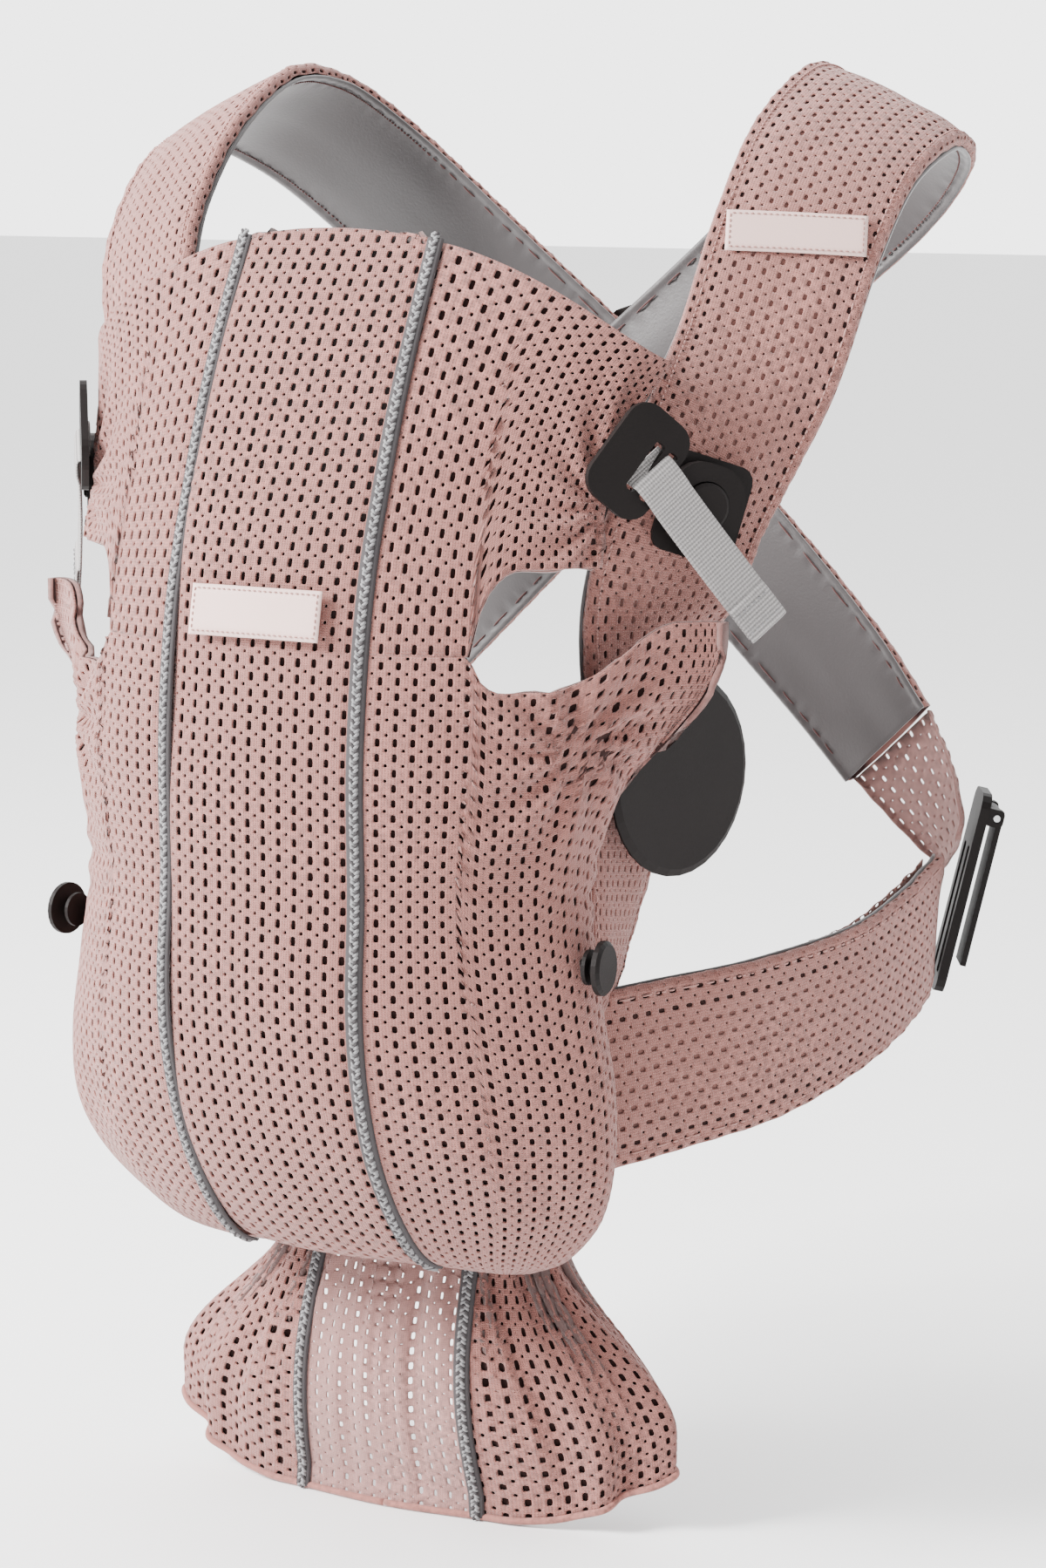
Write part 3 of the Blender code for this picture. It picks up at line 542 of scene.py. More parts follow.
def length_of(line):
    return float(np.linalg.norm(np.diff(line, axis=0), axis=1).sum())


def resampled(line, count):
    line = np.asarray(line, float)
    at = np.concatenate([[0], np.cumsum(np.linalg.norm(np.diff(line, axis=0), axis=1))])
    want = np.linspace(0, at[-1], count)
    return np.stack([np.interp(want, at, line[:, k]) for k in range(line.shape[1])], 1)


def stitch_line(line, out, pitch=0.0030, share=0.62, radius=0.00042):
    """Short raised stitches along a line; out gives the cloth's normal at each of its points."""
    rows = np.concatenate([np.asarray(line, float), np.asarray(out, float)], 1)
    count = max(2, int(length_of(rows[:, :3]) / pitch))
    rows = resampled(rows, count * 4 + 1)
    parts = []
    for k in range(count):
        ends = rows[4 * k], rows[4 * k + 2]
        p, q = ends[0][:3], ends[0][:3] + (ends[1][:3] - ends[0][:3]) * 2 * share
        normal = unit(ends[0][3:])
        lifts = (-0.2, 0.55, 0.75, 0.55, -0.2)
        bow = [p + (q - p) * t + normal * (radius * lift) for t, lift in zip((0, 0.2, 0.5, 0.8, 1), lifts)]
        parts.append(cord_mesh(bow, np.array([0.5, 0.95, 1.0, 0.95, 0.5]) * radius, 5))
    return joined(parts)


# ------------ front panel

PANEL_ROWS = smooth_line(PANEL_LINE, 400)
RISING = PANEL_ROWS[::-1]
RISE_AT = np.concatenate([[0], np.cumsum(np.hypot(np.diff(RISING[:, 0]), np.diff(RISING[:, 1])))])


def height_at(arc):
    """Height of the panel's middle line at an arc length from its bottom."""
    return np.interp(arc, RISE_AT, RISING[:, 1])


def arc_at(z):
    return np.interp(z, RISING[:, 1], RISE_AT)


def panel_point(z, turn):
    front = np.interp(z, RISING[:, 1], RISING[:, 0])
    half = np.interp(z, RISING[:, 1], RISING[:, 2])
    y = PANEL_SIDE_Y - (PANEL_SIDE_Y - front) * np.cos(turn)
    return np.stack([half * np.sin(turn), y + ORIGIN_Y, z + 0 * turn], -1)


def seam_turn(z):
    half = np.interp(z, RISING[:, 1], RISING[:, 2])
    return np.arcsin(PIPING_X / half)


def top_edge(turn):
    return TOP_Z - TOP_DROP * np.abs(np.sin(turn)) ** 2.2


def opening_top(turn):
    return FOLD_Z + (OPENING_TOP_Z - FOLD_Z) * rounding((np.abs(turn) - OPENING_TIP) / math.radians(9))


def opening_bottom(turn):
    past = np.abs(turn) - OPENING_TIP
    dip = (FOLD_Z - OPENING_BOTTOM_Z + 0.003) * rounding(past / math.radians(6))
    return FOLD_Z - dip + 0.025 * ease((past - math.radians(14)) / math.radians(18))


def creases(points, z, turn):
    """Soft creases in the panel's sides, and the dip where its piping is sewn."""
    side = np.sin(turn)
    pull = np.exp(-(((z - 0.276) / 0.016) ** 2)) * np.abs(side) ** 3
    fan = np.sin((z - 0.276) * 420 + side * 5) * pull * 0.0016
    low = np.exp(-(((z - 0.165) / 0.035) ** 2)) * np.sin(turn * 16 + z * 60) * np.abs(side) * 0.0011
    wide = np.array([noise.noise(Vector((p[0] * 16, p[1] * 9, p[2] * 13))) for p in points]) * 0.0022
    seam = -0.0014 * np.exp(-(((np.abs(points[:, 0]) - PIPING_X) / 0.0034) ** 2))
    return fan + low + wide + seam + star(turn, z, 1.02, 0.335, 9, 0.0026, 0.040, z < FOLD_Z) + star(
        turn, z, 1.15, 0.428, 11, 0.0020, 0.040, z > FOLD_Z
    )


def star(turn, z, at_turn, at_z, rays, height, reach, where):
    """Small folds that run together at one place on each side of the panel."""
    x, up = (np.abs(turn) - at_turn) * 0.13, z - at_z
    far = np.hypot(x, up)
    fold = np.sin(np.arctan2(up, x) * rays + far * 60) * height * ease(far / 0.015)
    return fold * np.exp(-((far / reach) ** 2)) * where


def panel_out(z, turn, step=0.01):
    """Outward unit normals of the panel."""
    across = panel_point(z, turn + step) - panel_point(z, turn - step)
    up = panel_point(z + step / 4, turn) - panel_point(z - step / 4, turn)
    return unit(np.cross(across, up))


def dressed(points, z, turn):
    """The panel's points, moved out or in by its creases."""
    return points + panel_out(z, turn) * creases(points, z, turn)[:, None]


def middle_surface(a, b):
    z = height_at(RISE_AT[-1] * b)
    seam = seam_turn(z)
    turn = seam * (2 * a - 1)
    z = np.minimum(z, top_edge(turn))
    return dressed(panel_point(z, turn), z, turn)


def upper_surface(a, b):
    end = UPPER_TURN + (CORNER_TURN - UPPER_TURN) * b**3
    z = FOLD_Z + (TOP_Z - FOLD_Z) * b
    for _ in range(3):
        seam = seam_turn(z)
        turn = seam + (end - seam) * a
        low, top = opening_top(turn), top_edge(turn)
        z = height_at(arc_at(low) + (arc_at(top) - arc_at(low)) * b)
    lift = (TOP_Z - top) * b * 0.55
    points = panel_point(z + lift, turn)
    points[:, 2] = z
    return dressed(points, z, turn)


def lower_surface(a, b):
    bottom = PANEL_LINE[-1][1]
    z = bottom + (FOLD_Z - bottom) * b
    for _ in range(3):
        seam = seam_turn(z)
        turn = seam + (math.pi / 2 - seam) * a
        z = height_at(arc_at(opening_bottom(turn)) * b)
    points = panel_point(z, turn)
    level = ease((z - EAR_Z[0]) / (EAR_Z[1] - EAR_Z[0])) ** 1.3
    start = TUCK_TURN - math.radians(12) * level
    share = ease((turn - start) / (math.pi / 2 - start))[:, None]
    neck = np.minimum(1, np.interp(z, RISING[:, 1], RISING[:, 2]) / 0.130)
    x = (TUCK[0] + (EAR_TIP[0] - TUCK[0]) * level) * neck
    y = TUCK[1] + (EAR_TIP[1] - TUCK[1]) * level + ORIGIN_Y + BOTTOM_TUCK * (1 - neck)
    tip = np.stack([x, y, z], -1)
    return dressed(points + (tip - points) * share, z, turn)


def folding(piece):
    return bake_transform(piece)


def panel():
    stands = ("front_upper_middle", "front_lower_middle")
    skin = mesh_skin("panel_middle", middle_surface, 1, "pink", None, "pink_mesh", stands, 3)
    folding(skin)
    # Each core's front face is painted shade seen through the holes; its back is the inner pink.
    core = sheet_skin("panel_middle_core", middle_surface, 1, "grey_lining_and_painted_shade", None, (90, 22), (),
                      CORE_THICK, "inner", CORE_DEEP)
    folding(core)
    for side, tag in SIDES:
        upper = mesh_skin(f"panel_upper_{tag}", upper_surface, side, "pink", None, "pink_mesh",
                          (f"front_upper_{tag}",), 5 + side, **SIDE_NET)
        core = sheet_skin(f"panel_upper_core_{tag}", upper_surface, side, "core_painted_shade", None,
                          (40, 30), (), CORE_THICK, "inner", CORE_DEEP)
        folding(upper)
        folding(core)
        lower = mesh_skin(f"panel_lower_{tag}", lower_surface, side, "pink", "root", "pink_mesh",
                          (f"front_lower_{tag}",), 8 + side, **SIDE_NET)
        core = sheet_skin(f"panel_lower_core_{tag}", lower_surface, side, "core_painted_shade", "root",
                          (70, 46), (), CORE_THICK, "inner", CORE_DEEP)


panel()


def braid(name, centre_of, low, high, side, body, stands):
    """A flat three-strand braid laid on the cloth, beside its seam."""
    at = np.linspace(low, high, 700)
    line = [centre_of(t) for t in at]
    centres = np.array([row[0] for row in line])
    outs = unit(np.array([row[1] for row in line]))
    along = unit(np.gradient(centres, axis=0))
    across = unit(np.cross(outs, along))
    run = np.concatenate([[0], np.cumsum(np.linalg.norm(np.diff(centres, axis=0), axis=1))])
    parts = []
    for k in range(3):
        phase = run / BRAID_PITCH * 2 * math.pi + k * 2 * math.pi / 3
        path = centres + across * (BRAID_WIDE * np.sin(phase))[:, None]
        path = path + outs * (BRAID_DEEP * np.sin(2 * phase))[:, None]
        parts.append(cord_mesh(path, STRAND, 6))
    points, faces = joined(parts)
    piece = add(name, mirror(points, side), turned(faces, side), "braid", body, stands)
    piece.data.materials.append(LOOKS["dark_strand_and_painted_shadow"])
    polygons = piece.data.polygons
    for k in range(len(polygons) // 3):
        polygons[k].material_index = 1
    # The dark tape under the braid is painted shadow: it shows as dark lines along both sides of the braid.
    tape = []
    for shift, drop in ((-0.0033, 0.0014), (-0.0027, 0.0004), (0.0027, 0.0004), (0.0033, 0.0014)):
        tape.append(centres + across * shift - outs * drop)
    points = np.stack(tape, 1)[::4].reshape(-1, 3)
    faces = grid_faces(len(at[::4]), 4)
    shadow_tape = add(name + "_tape", mirror(points, side), turned(faces, side), "dark_strand_and_painted_shadow", body, (),
                  None, 0.0004)
    return piece, shadow_tape


def panel_cord(z):
    """Centre and outward direction of the piping on the panel at a height."""
    z = np.array([z])
    turn = seam_turn(z)
    point, out = dressed(panel_point(z, turn), z, turn)[0], panel_out(z, turn)[0]
    return point + out * BRAID_LIFT, out


def pipings():
    for side, tag in SIDES:
        stands = (f"piping_upper_{tag}", f"piping_lower_{tag}")
        for cord in braid(f"panel_piping_{tag}", panel_cord, 0.1170, 0.5315, side, None, stands):
            folding(cord)


pipings()

# ------------ straps


def chest_route(side):
    made = []
    for x, y, z, *rest in CHEST_ROUTE:
        near = ease((z - 0.300) / 0.080) * ease((0.545 - z) / 0.080) * (side < 0)
        made.append((x - DRAWN_IN * near, y, z, *rest))
    return made


def back_route(side):
    made = []
    for x, y, z, *rest in BACK_ROUTE:
        near = math.exp(-((x / 0.045) ** 2))
        made.append((x, y - side * BACK_STEP * near, z, *rest))
    return made


class Strap:
    """A strap along a route: places on it are a (0 to 1 across), b (0 to 1 along) and a depth."""

    def __init__(self, route, sink=0.0):
        self.rows = smooth_line(route, 300)
        self.rows[:, 1] += ORIGIN_Y
        self.rows[:, :3] -= unit(self.rows[:, 3:6]) * sink
        along = unit(np.gradient(self.rows[:, :3], axis=0))
        out = self.rows[:, 3:6]
        self.out = unit(out - along * (along * out).sum(1, keepdims=True))
        self.across = np.cross(along, self.out)
        run = np.concatenate([[0], np.cumsum(np.linalg.norm(np.diff(self.rows[:, :3], axis=0), axis=1))])
        self.at = run / run[-1]
        self.long = float(run[-1])

    def read(self, values, b):
        return np.stack([np.interp(b, self.at, values[:, k]) for k in range(values.shape[1])], -1)

    def place(self, shift, depth, b):
        """Shift is in half widths from the middle, depth in metres below the outer face."""
        centre, width = self.read(self.rows[:, :3], b), np.interp(b, self.at, self.rows[:, 6])
        out, across = unit(self.read(self.out, b)), unit(self.read(self.across, b))
        return centre + across * (np.asarray(shift) * width / 2)[:, None] - out * np.asarray(depth)[:, None]

    def outline(self, shape):
        """A smooth outline through rows of shift and depth, and how far round it each of its points is."""
        fine = smooth_line(shape, 120)
        half = float(self.rows[:, 6].mean()) / 2
        steps = np.hypot(np.diff(fine[:, 0]) * half, np.diff(fine[:, 1]))
        run = np.concatenate([[0], np.cumsum(steps)])
        return fine, run / run[-1]

    def skin(self, thick, puff, wobble=0.0008, seed=0.0):
        """The outer face with its rounded sides, as a function of a and b."""
        shape = np.array([
            (-0.985, thick), (-1.005, thick * 0.55), (-0.985, thick * 0.18), (-0.93, 0.0002), (-0.87, 0.0010),
            (-0.80, 0.0003), (-0.5, -puff * 0.75), (0.0, -puff), (0.5, -puff * 0.75), (0.80, 0.0003),
            (0.87, 0.0010), (0.93, 0.0002), (0.985, thick * 0.18), (1.005, thick * 0.55), (0.985, thick),
        ])
        fine, run = self.outline(shape)

        def surface(a, b):
            a, b = np.asarray(a, float), np.asarray(b, float)
            shift, depth = np.interp(a, run, fine[:, 0]), np.interp(a, run, fine[:, 1])
            ripple = [noise.noise(Vector((s * 2.2, v * self.long * 26, seed))) for s, v in zip(shift, b)]
            edge_pull = np.sin(b * self.long * 420 + shift * 3) * np.abs(shift) ** 6 * 0.0004
            depth = depth + np.array(ripple) * wobble + edge_pull
            return self.place(shift, depth, b)

        return surface

    def under(self, depth, thick, wobble=0.0008, seed=5.0):
        """The lining: it bows under the strap, and its rolled edges show beside the mesh."""
        shape = np.array([
            (-0.97, depth - thick * 0.6), (-1.015, depth + 0.0002), (-0.99, depth + thick),
            (-0.93, depth + thick * 0.9), (-0.86, depth + thick * 0.45), (-0.5, depth + thick),
            (0.0, depth + thick * 1.2), (0.5, depth + thick), (0.86, depth + thick * 0.45),
            (0.93, depth + thick * 0.9), (0.99, depth + thick), (1.015, depth + 0.0002),
            (0.97, depth - thick * 0.6),
        ])
        fine, run = self.outline(shape[::-1])

        def surface(a, b):
            a, b = np.asarray(a, float), np.asarray(b, float)
            shift, low = np.interp(a, run, fine[:, 0]), np.interp(a, run, fine[:, 1])
            soft = [noise.noise(Vector((s * 1.5, v * self.long * 18, seed))) for s, v in zip(shift, b)]
            near = np.exp(-(((np.abs(shift) - 0.86) / 0.10) ** 2))
            pucker = np.sin(b * self.long * 900 + np.sin(b * self.long * 130) * 2) * near * 0.00035
            return self.place(shift, low + np.array(soft) * wobble + pucker, b)

        return surface

    def seam(self, shift, depth, way):
        """A seam's line, and the side it shows on: way is 1 for the outer face and -1 for the lining."""
        b = np.linspace(0.01, 0.99, 160)
        line = self.place(np.full(160, shift), np.full(160, depth), b)
        return line, unit(self.read(self.out, b)) * way


def stitched(name, strap, side, body, slot, rows, look="thread", **how):
    parts = []
    for shift, depth, way in rows:
        line, out = strap.seam(shift, depth, way)
        parts.append(stitch_line(line, out, **how))
    points, faces = joined(parts)
    return add(name, mirror(points, side), turned(faces, side), look, body)


def mesh_strap(name, strap, side, thick, puff, stands, seed, lining):
    """A padded strap with its core and its lining, given as (depth, thickness, nodes that it stands for)."""
    outer = strap.skin(thick, puff, seed=seed * 1.7)
    skin = mesh_skin(name, outer, side, "strap", "root", "pink_mesh", stands, seed, 0.0007, **STRAP_NET)
    # The core's face is painted shade at the strap's sides, seen through the holes.
    sheet_skin(name + "_core", outer, side, "strap_core_and_painted_shade", "root",
               (int(strap.long / 0.004), 44), (), 0.0009, None, 0.0009)
    stitched(name + "_stitches", strap, side, "root", "pink_mesh", [(s * 0.875, 0.0006, 1.0) for s in (-1, 1)])
    depth, deep, lined = lining
    under = strap.under(depth, deep, seed=seed + 3.1)
    piece = sheet_skin(name + "_lining", under, side, "lining", "root",
                       (int(strap.long / 0.0022), 60), lined, 0.0008)
    wide, tall = flat_size(under)
    stitched(name + "_lining_stitches", strap, side, "root", "grey_lining",
             [(s * 0.87, depth + deep * 0.55, -1.0) for s in (-1, 1)], "red_thread", pitch=0.0034)


def straps():
    for side, tag in SIDES:
        shoulder = Strap([CHEST_TUCKED_END] + chest_route(side)[:-1] + back_route(side))
        mesh_strap(f"shoulder_strap_{tag}", shoulder, side, 0.0058, 0.0012,
                   (f"chest_strap_{tag}", f"back_strap_{tag}"), 11 + side,
                   (0.0066, 0.0011, (f"chest_strap_lining_{tag}", f"back_strap_lining_{tag}")))
        waist = Strap([WAIST_TUCKED_END, *WAIST_ROUTE])
        mesh_strap(f"waist_strap_{tag}_cloth", waist, side, 0.0044, 0.0004, (f"waist_strap_{tag}",),
                   19 + side, (0.0050, 0.0009, (f"waist_strap_lining_{tag}",)))
        inner = Strap([(*row[:6], row[6] * 0.96) for row in WAIST_ROUTE], 0.0095)
        mesh_skin(f"waist_return_{tag}", inner.skin(0.0005, 0.0, seed=2.0), side, "strap", "root",
                  "pink_mesh", (f"waist_strap_return_{tag}",), 23 + side, 0.0006)
        end = Strap(END_ROUTE)
        mesh_skin(f"strap_end_{tag}_cloth", end.skin(0.0030, 0.0, seed=4.0), side, "fine", "root",
                  "fine_mesh", (f"strap_end_{tag}",), 27 + side, 0.0009, big=(0.22, 0.34), small=(0.13, 0.20))


straps()

# ------------ skirt


def skirt_half(down):
    return SKIRT_NECK + SKIRT_SPREAD * ease(0.08 + down * 1.15)


def skirt_seam(down):
    return np.arcsin((0.036 + 0.008 * down) / skirt_half(down))


def skirt_point(down, turn):
    half = skirt_half(down)
    front = SKIRT_FRONT_Y - 0.010 * np.sin(math.pi * np.minimum(1.0, down * 1.1)) - 0.006 * down
    wave = 0.003 * down * np.cos(9 * turn)
    gather = 0.0021 * np.maximum(1 - down, 0) ** 1.1 * np.sin(46 * turn + 3 * np.sin(11 * turn))
    gather = gather * ease(np.abs(np.abs(turn) - skirt_seam(down)) / 0.12)
    outer = ease((np.abs(turn) - 0.42) / 0.35)
    flare = (np.sin(13 * turn + 1.8 * down) * 0.0042 + np.sin(23 * turn - 2.2 * down) * 0.0018) * outer
    flare = flare * ease(0.15 + down * 0.95) * (1 - 0.45 * down)
    x = (half + wave + gather + flare) * np.sin(turn)
    y = SKIRT_SIDE_Y - (SKIRT_SIDE_Y - front) * np.cos(turn) * (1 + wave * 8) - (gather + flare) * np.cos(turn)
    hem = 0.028 * ease((np.abs(turn) - math.radians(25)) / math.radians(80))
    z = SKIRT_TOP_Z + (hem - SKIRT_TOP_Z) * down
    return np.stack([x, y + ORIGIN_Y, z], -1)


def skirt_insert(a, b):
    down = 1 - b
    seam = skirt_seam(down) - SEAM_GAP
    turn = seam * (2 * a - 1)
    points = skirt_point(down, turn)
    pleat = sum(np.exp(-(((a - at) / 0.030) ** 2)) for at in (0.30, 0.70))
    points[:, 1] += pleat * 0.0028 * (1 - 0.6 * down)
    return points


def skirt_side(a, b):
    down = 1 - b
    first = skirt_seam(down) + SEAM_GAP
    return skirt_point(down, first + (SKIRT_TURN - first) * a)


def skirt_cord(down):
    down = np.array([down])
    turn = skirt_seam(down)
    point = skirt_point(down, turn)
    across = skirt_point(down, turn + 0.01) - skirt_point(down, turn - 0.01)
    up = skirt_point(down - 0.01, turn) - skirt_point(down + 0.01, turn)
    out = unit(np.cross(across, up))[0]
    return point[0] + out * SKIRT_BRAID_LIFT, out


def skirt_neck(a, b):
    """The gathered cloth between the skirt's top, at b 0, and the panel's bottom edge, at b 1."""
    share = 0.40
    zero = np.zeros_like(a)
    middle = middle_surface(0.5 + 0.5 * np.clip(a / share, 0, 1), zero)
    outer = lower_surface(np.clip((a - share) / (1 - share), 0, 1), zero)
    edge = np.where((a < share)[:, None], middle, outer)
    edge[:, 2] += 0.0015
    top = skirt_point(zero, SKIRT_TURN * a)
    points = top + (edge - top) * b[:, None]
    points[:, 2] += np.sin(a * 60) * np.sin(math.pi * b) * 0.0015
    return points


def rolled_edge(name, line, radius, side, look, body):
    points, faces = cord_mesh(line, radius, 10)
    return add(name, mirror(points, side), turned(faces, side), look, body)


def skirt():
    insert = mesh_skin("skirt_insert_cloth", skirt_insert, 1, "fine", "root", "fine_mesh",
                       ("skirt_insert",), 31, 0.0007, big=(0.20, 0.36), small=(0.13, 0.20))
    flat_size(skirt_insert)
    for side, tag in SIDES:
        skin = mesh_skin(f"skirt_side_{tag}_cloth", skirt_side, side, "pink", "root", "pink_mesh",
                         (f"skirt_side_{tag}",), 33 + side)
        flat_size(skirt_side)
        # The back sheet's front face is painted shade seen through the holes; its back is the inner pink.
        sheet_skin(f"skirt_side_{tag}_back", skirt_side, side, "core_painted_shade", "root", (50, 70), (),
                   0.0012, "inner", CORE_DEEP)
        braid(f"skirt_braid_{tag}", skirt_cord, 0.0, 1.0, side, "root",
              (f"skirt_piping_{tag}",))
        turns = np.linspace(0.0, SKIRT_TURN, 90)
        hem = skirt_point(np.full(90, 0.992), turns)
        sheet_skin(f"skirt_neck_{tag}", skirt_neck, side, "inner", "root", (8, 120), (), 0.0012)
        rolled_edge(f"skirt_hem_{tag}", hem, 0.0015, side, "pink", "root")


skirt()

# ------------ labels, webbing, clasps


def plane(origin, out, up=(0, 0, 1)):
    n = Vector(out).normalized()
    p = Vector(up).cross(n).normalized()
    return np.array([p, n.cross(p), n]), np.array(origin)


def on_plane(frame_, rows):
    axes, origin = frame_
    return np.asarray(rows, float) @ axes + origin


def cushion_slab(wide, tall, thick, corner, count=(40, 16)):
    """A thin tape with soft edges: places in p, q and n, and faces."""
    points, faces = [], []
    a, b = np.linspace(-1, 1, count[0]), np.linspace(-1, 1, count[1])
    for way in (1, -1):
        for q in b:
            for p in a:
                edge = max(abs(p) - 1 + corner / wide * 2, 0) + max(abs(q) - 1 + corner / tall * 2, 0)
                drop = min(1.0, edge * wide / corner / 2) ** 2
                points.append((p * wide / 2, q * tall / 2, way * thick / 2 * (1 - 0.8 * drop)))
    top = grid_faces(count[1], count[0])
    base = count[0] * count[1]
    faces += top + [tuple(k + base for k in f)[::-1] for f in top]
    rim = list(range(count[0])) + [count[0] * r + count[0] - 1 for r in range(1, count[1])]
    rim += [base - 1 - k for k in range(1, count[0])] + [count[0] * r for r in range(count[1] - 2, 0, -1)]
    faces += [(u, u + base, v + base, v) for u, v in zip(rim, rim[1:] + rim[:1])]
    return np.array(points), faces


def label(name, frame_, wide, tall, tilt, height, body, node_name, bend=0.0):
    points, faces = cushion_slab(wide, tall, 0.0011, 0.0022)
    points[:, 2] += height - bend * points[:, 0] ** 2
    ring = []
    inset = 0.0016
    w, t = wide / 2 - inset, tall / 2 - inset
    for (p0, q0), (p1, q1) in zip(((-w, -t), (w, -t), (w, t), (-w, t)), ((w, -t), (w, t), (-w, t), (-w, -t))):
        ring += [(p0 + (p1 - p0) * k / 20, q0 + (q1 - q0) * k / 20) for k in range(20)]
    ring.append(ring[0])
    seam = np.array([(p, q, height + 0.0005 - bend * p**2) for p, q in ring])
    c, s = math.cos(tilt), math.sin(tilt)
    spin = np.array([[c, s, 0], [-s, c, 0], [0, 0, 1]])
    slab = add(name, on_plane(frame_, points @ spin), faces, "label", body, (node_name,))
    if not body:
        folding(slab)
    line = on_plane(frame_, seam @ spin)
    out = np.tile(frame_[0][2], (len(line), 1))
    points, faces = stitch_line(line, out, 0.0024, 0.6, 0.00030)
    sewing = add(name + "_stitches", points, faces, "thread", body)
    if not body:
        folding(sewing)


def labels():
    spot = np.array([0.3858])
    point = dressed(panel_point(spot, np.zeros(1)), spot, np.zeros(1))[0]
    out = (0.0, -1.0, 0.20)
    label("front_label_tape", plane(point, out), 0.060, 0.020, 0.0, 0.0035, None, "front_label", 1.5)
    here, before, after = (Vector(CHEST_ROUTE[8 + k][:3]) for k in (0, -1, 1))
    along = (after - before).normalized()
    out = Vector(CHEST_ROUTE[8][3:6])
    out = (out - along * out.dot(along)).normalized()
    place = plane((here.x, here.y + ORIGIN_Y, here.z), out)
    label("strap_label_tape", place, 0.056, 0.018, math.radians(-3), 0.0022, "root", "strap_label", 0.6)


labels()


def clasp_plane(side, height=0.0):
    origin = CLASP - Vector((DRAWN_IN * (side < 0), 0, 0)) + CLASP_OUT * height
    return plane(origin, CLASP_OUT)


def strip(frame_, route, wide, thick, columns=24):
    """A flat tape along a route of p, q, n rows; wide across the route's own plane."""
    route = resampled(route, max(20, int(length_of(route) / 0.0006)))
    along = unit(np.gradient(route, axis=0))
    side_way = unit(np.cross(along, np.array([0, 0, 1.0])))
    out = np.cross(side_way, along)
    run = np.concatenate([[0], np.cumsum(np.linalg.norm(np.diff(route, axis=0), axis=1))])
    angles = np.linspace(0, 2 * math.pi, columns, endpoint=False)
    across = np.sign(np.cos(angles)) * np.abs(np.cos(angles)) ** 0.35 * wide / 2
    over = np.sign(np.sin(angles)) * np.abs(np.sin(angles)) ** 0.55 * thick / 2
    ribs = 1 + 0.10 * np.cos(run / 0.0016 * 2 * math.pi)
    points = route[:, None] + side_way[:, None] * across[None, :, None]
    points = points + out[:, None] * (over[None, :] * ribs[:, None])[..., None]
    uv = np.stack([np.tile(across, len(route)), np.repeat(run, columns)], 1)
    return on_plane(frame_, points.reshape(-1, 3)), tube_faces(len(route), columns), uv


def webbing(side, tag):
    """The tail passes over the plate's bar, hangs over the strap and ends in a folded, sewn hem."""
    c, s = math.cos(WEB_TILT), math.sin(WEB_TILT)
    frame_ = clasp_plane(side)

    def way(r, n):
        return (WEB_START[0] + c * r, WEB_START[1] + s * r, n)

    rows = [(-0.0100, 0.0086), (-0.0075, 0.0090), (-0.0058, 0.0105), (-0.0050, 0.0125), (-0.0030, 0.0136),
            (0.0030, 0.0137), (0.0075, 0.0130), (0.0110, 0.0125), (0.030, 0.0120), (0.055, 0.0122),
            (0.073, 0.0128)]
    route = smooth_line([way(r, n) for r, n in rows], 160)
    points, faces, uv = strip(frame_, route, WEB_WIDE, WEB_THICK)
    add(f"webbing_{tag}_tape", mirror(points, side), turned(faces, side), "web", "front_top",
        (f"webbing_{tag}",), uv)
    fold = [way(0.059, 0.0124), way(0.060, 0.0134), way(0.066, 0.0137), way(0.0725, 0.0138),
            way(0.0745, 0.0134), way(0.0745, 0.0126)]
    points, faces, uv = strip(frame_, smooth_line(fold, 40), WEB_WIDE * 0.985, WEB_THICK * 0.9)
    add(f"webbing_{tag}_hem", mirror(points, side), turned(faces, side), "web", "front_top",
        (), uv)
    parts = []
    for r in (0.0622, 0.0712):
        across = np.linspace(-0.0080, 0.0080, 12)
        line = np.array([way(r, 0.0145) for _ in across]) + np.outer(across, (-s, c, 0))
        parts.append(stitch_line(on_plane(frame_, line), np.tile(frame_[0][2], (12, 1)), 0.0024, 0.6, 0.0003))
    points, faces = joined(parts)
    add(f"webbing_{tag}_stitches", mirror(points, side), turned(faces, side), "braid", "front_top")


def hard_parts():
    """The moulded pieces keep their shape, with softened edges."""
    for name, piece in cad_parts.items():
        if piece.hide_render:
            continue
        pin = name.startswith("adjuster_pin")
        piece.data.materials.clear()
        piece.data.materials.append(LOOKS["steel" if pin else "plastic"])
        soft = piece.modifiers.new("soft_edges", "BEVEL")
        soft.width = 0.0003 if pin else 0.0006
        soft.segments = 2
        soft.limit_method = "ANGLE"
        soft.angle_limit = math.radians(35)


for side_, tag_ in SIDES:
    webbing(side_, tag_)
hard_parts()

# ------------ camera, floor and light


def light(name, place, aim, size, power, colour=(1.0, 1.0, 1.0)):
    data = bpy.data.lights.new(name, "AREA")
    data.shape = "RECTANGLE"
    data.size, data.size_y = size
    data.energy = power
    data.color = colour
    lamp = bpy.data.objects.new(name, data)
    bpy.context.scene.collection.objects.link(lamp)
    lamp.location = place
    lamp.rotation_euler = (Vector(aim) - Vector(place)).to_track_quat("-Z", "Y").to_euler()


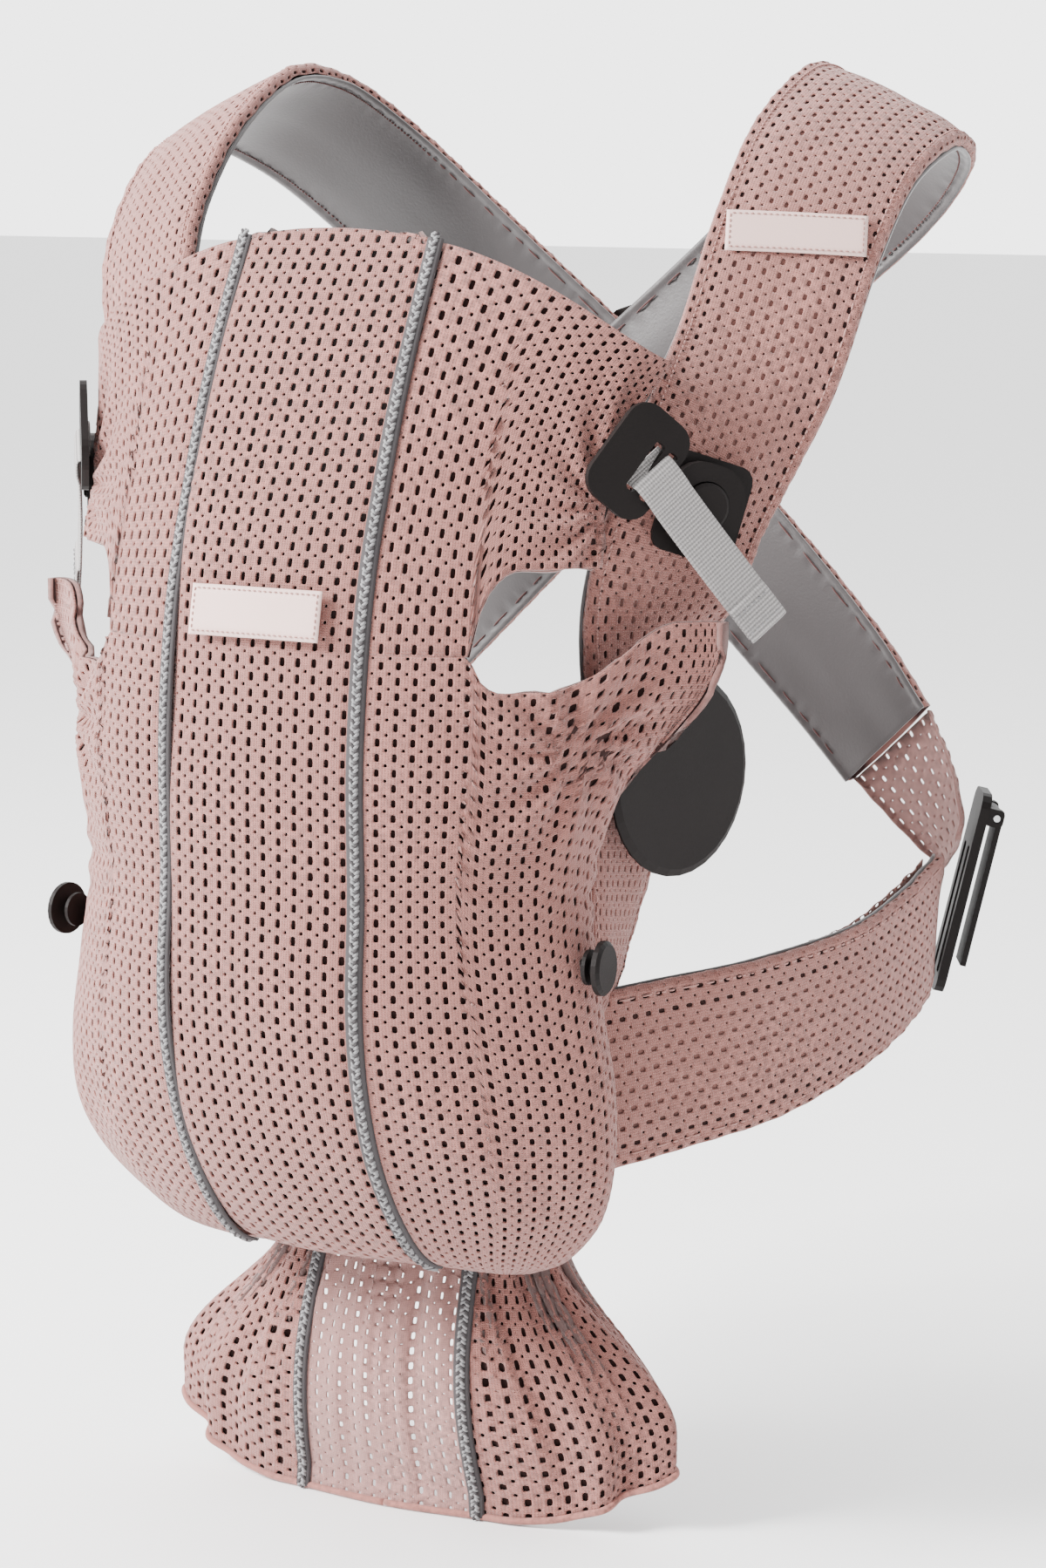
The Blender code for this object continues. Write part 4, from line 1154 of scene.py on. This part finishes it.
def studio():
    world = bpy.data.worlds.new("studio")
    world.use_nodes = True
    background = world.node_tree.nodes["Background"]
    background.inputs["Color"].default_value = (1.0, 1.0, 1.0, 1.0)
    tree = world.node_tree
    direction = node(tree, "ShaderNodeTexCoord").outputs["Generated"]
    facing = node(tree, "ShaderNodeVectorMath", operation="DOT_PRODUCT")
    facing.inputs[1].default_value = BRIGHT_WAY
    link(tree, direction, facing.inputs[0])
    spread = node(tree, "ShaderNodeMapRange")
    for value, at in zip(BRIGHT_RANGE, ("From Min", "From Max", "To Min", "To Max")):
        spread.inputs[at].default_value = value
    link(tree, facing.outputs["Value"], spread.inputs["Value"])
    link(tree, spread.outputs["Result"], background.inputs["Strength"])
    bpy.context.scene.world = world
    middle = (0.0, 0.0, 0.30)
    light("key", (-1.35, -1.55, 1.55), middle, (0.9, 0.9), 215.0, (1.0, 0.99, 0.98))
    light("left", (-1.9, 0.1, 0.9), middle, (0.8, 1.2), 14.0)
    light("above", (0.1, 0.2, 2.2), middle, (1.2, 1.2), 14.0)

    corners = ((-1, -1), (1, -1), (1, 1), (-1, 1))
    points = [(x * FLOOR_HALF, y * FLOOR_HALF, FLOOR_Z) for x, y in corners]
    mesh = bpy.data.meshes.new("floor")
    mesh.from_pydata(points, [], [(0, 1, 2, 3)])
    floor = bpy.data.objects.new("floor", mesh)
    bpy.context.scene.collection.objects.link(floor)
    mesh.materials.append(plain("pale_floor", FLOOR_WHITE, 0.9, 60.0, 0.00002, 0.0, 0.01))

    camera = bpy.data.objects.new("camera", bpy.data.cameras.new("camera"))
    bpy.context.scene.collection.objects.link(camera)
    back = Vector((
        math.sin(CAMERA_AZIMUTH) * math.cos(CAMERA_ELEVATION),
        -math.cos(CAMERA_AZIMUTH) * math.cos(CAMERA_ELEVATION),
        math.sin(CAMERA_ELEVATION),
    ))
    camera.location = CAMERA_TARGET + back * CAMERA_FAR
    camera.rotation_euler = (-back).to_track_quat("-Z", "Y").to_euler()
    camera.data.lens = CAMERA_LENS
    camera.data.sensor_width = CAMERA_SENSOR
    camera.data.clip_end = 50.0
    bpy.context.scene.camera = camera


studio()
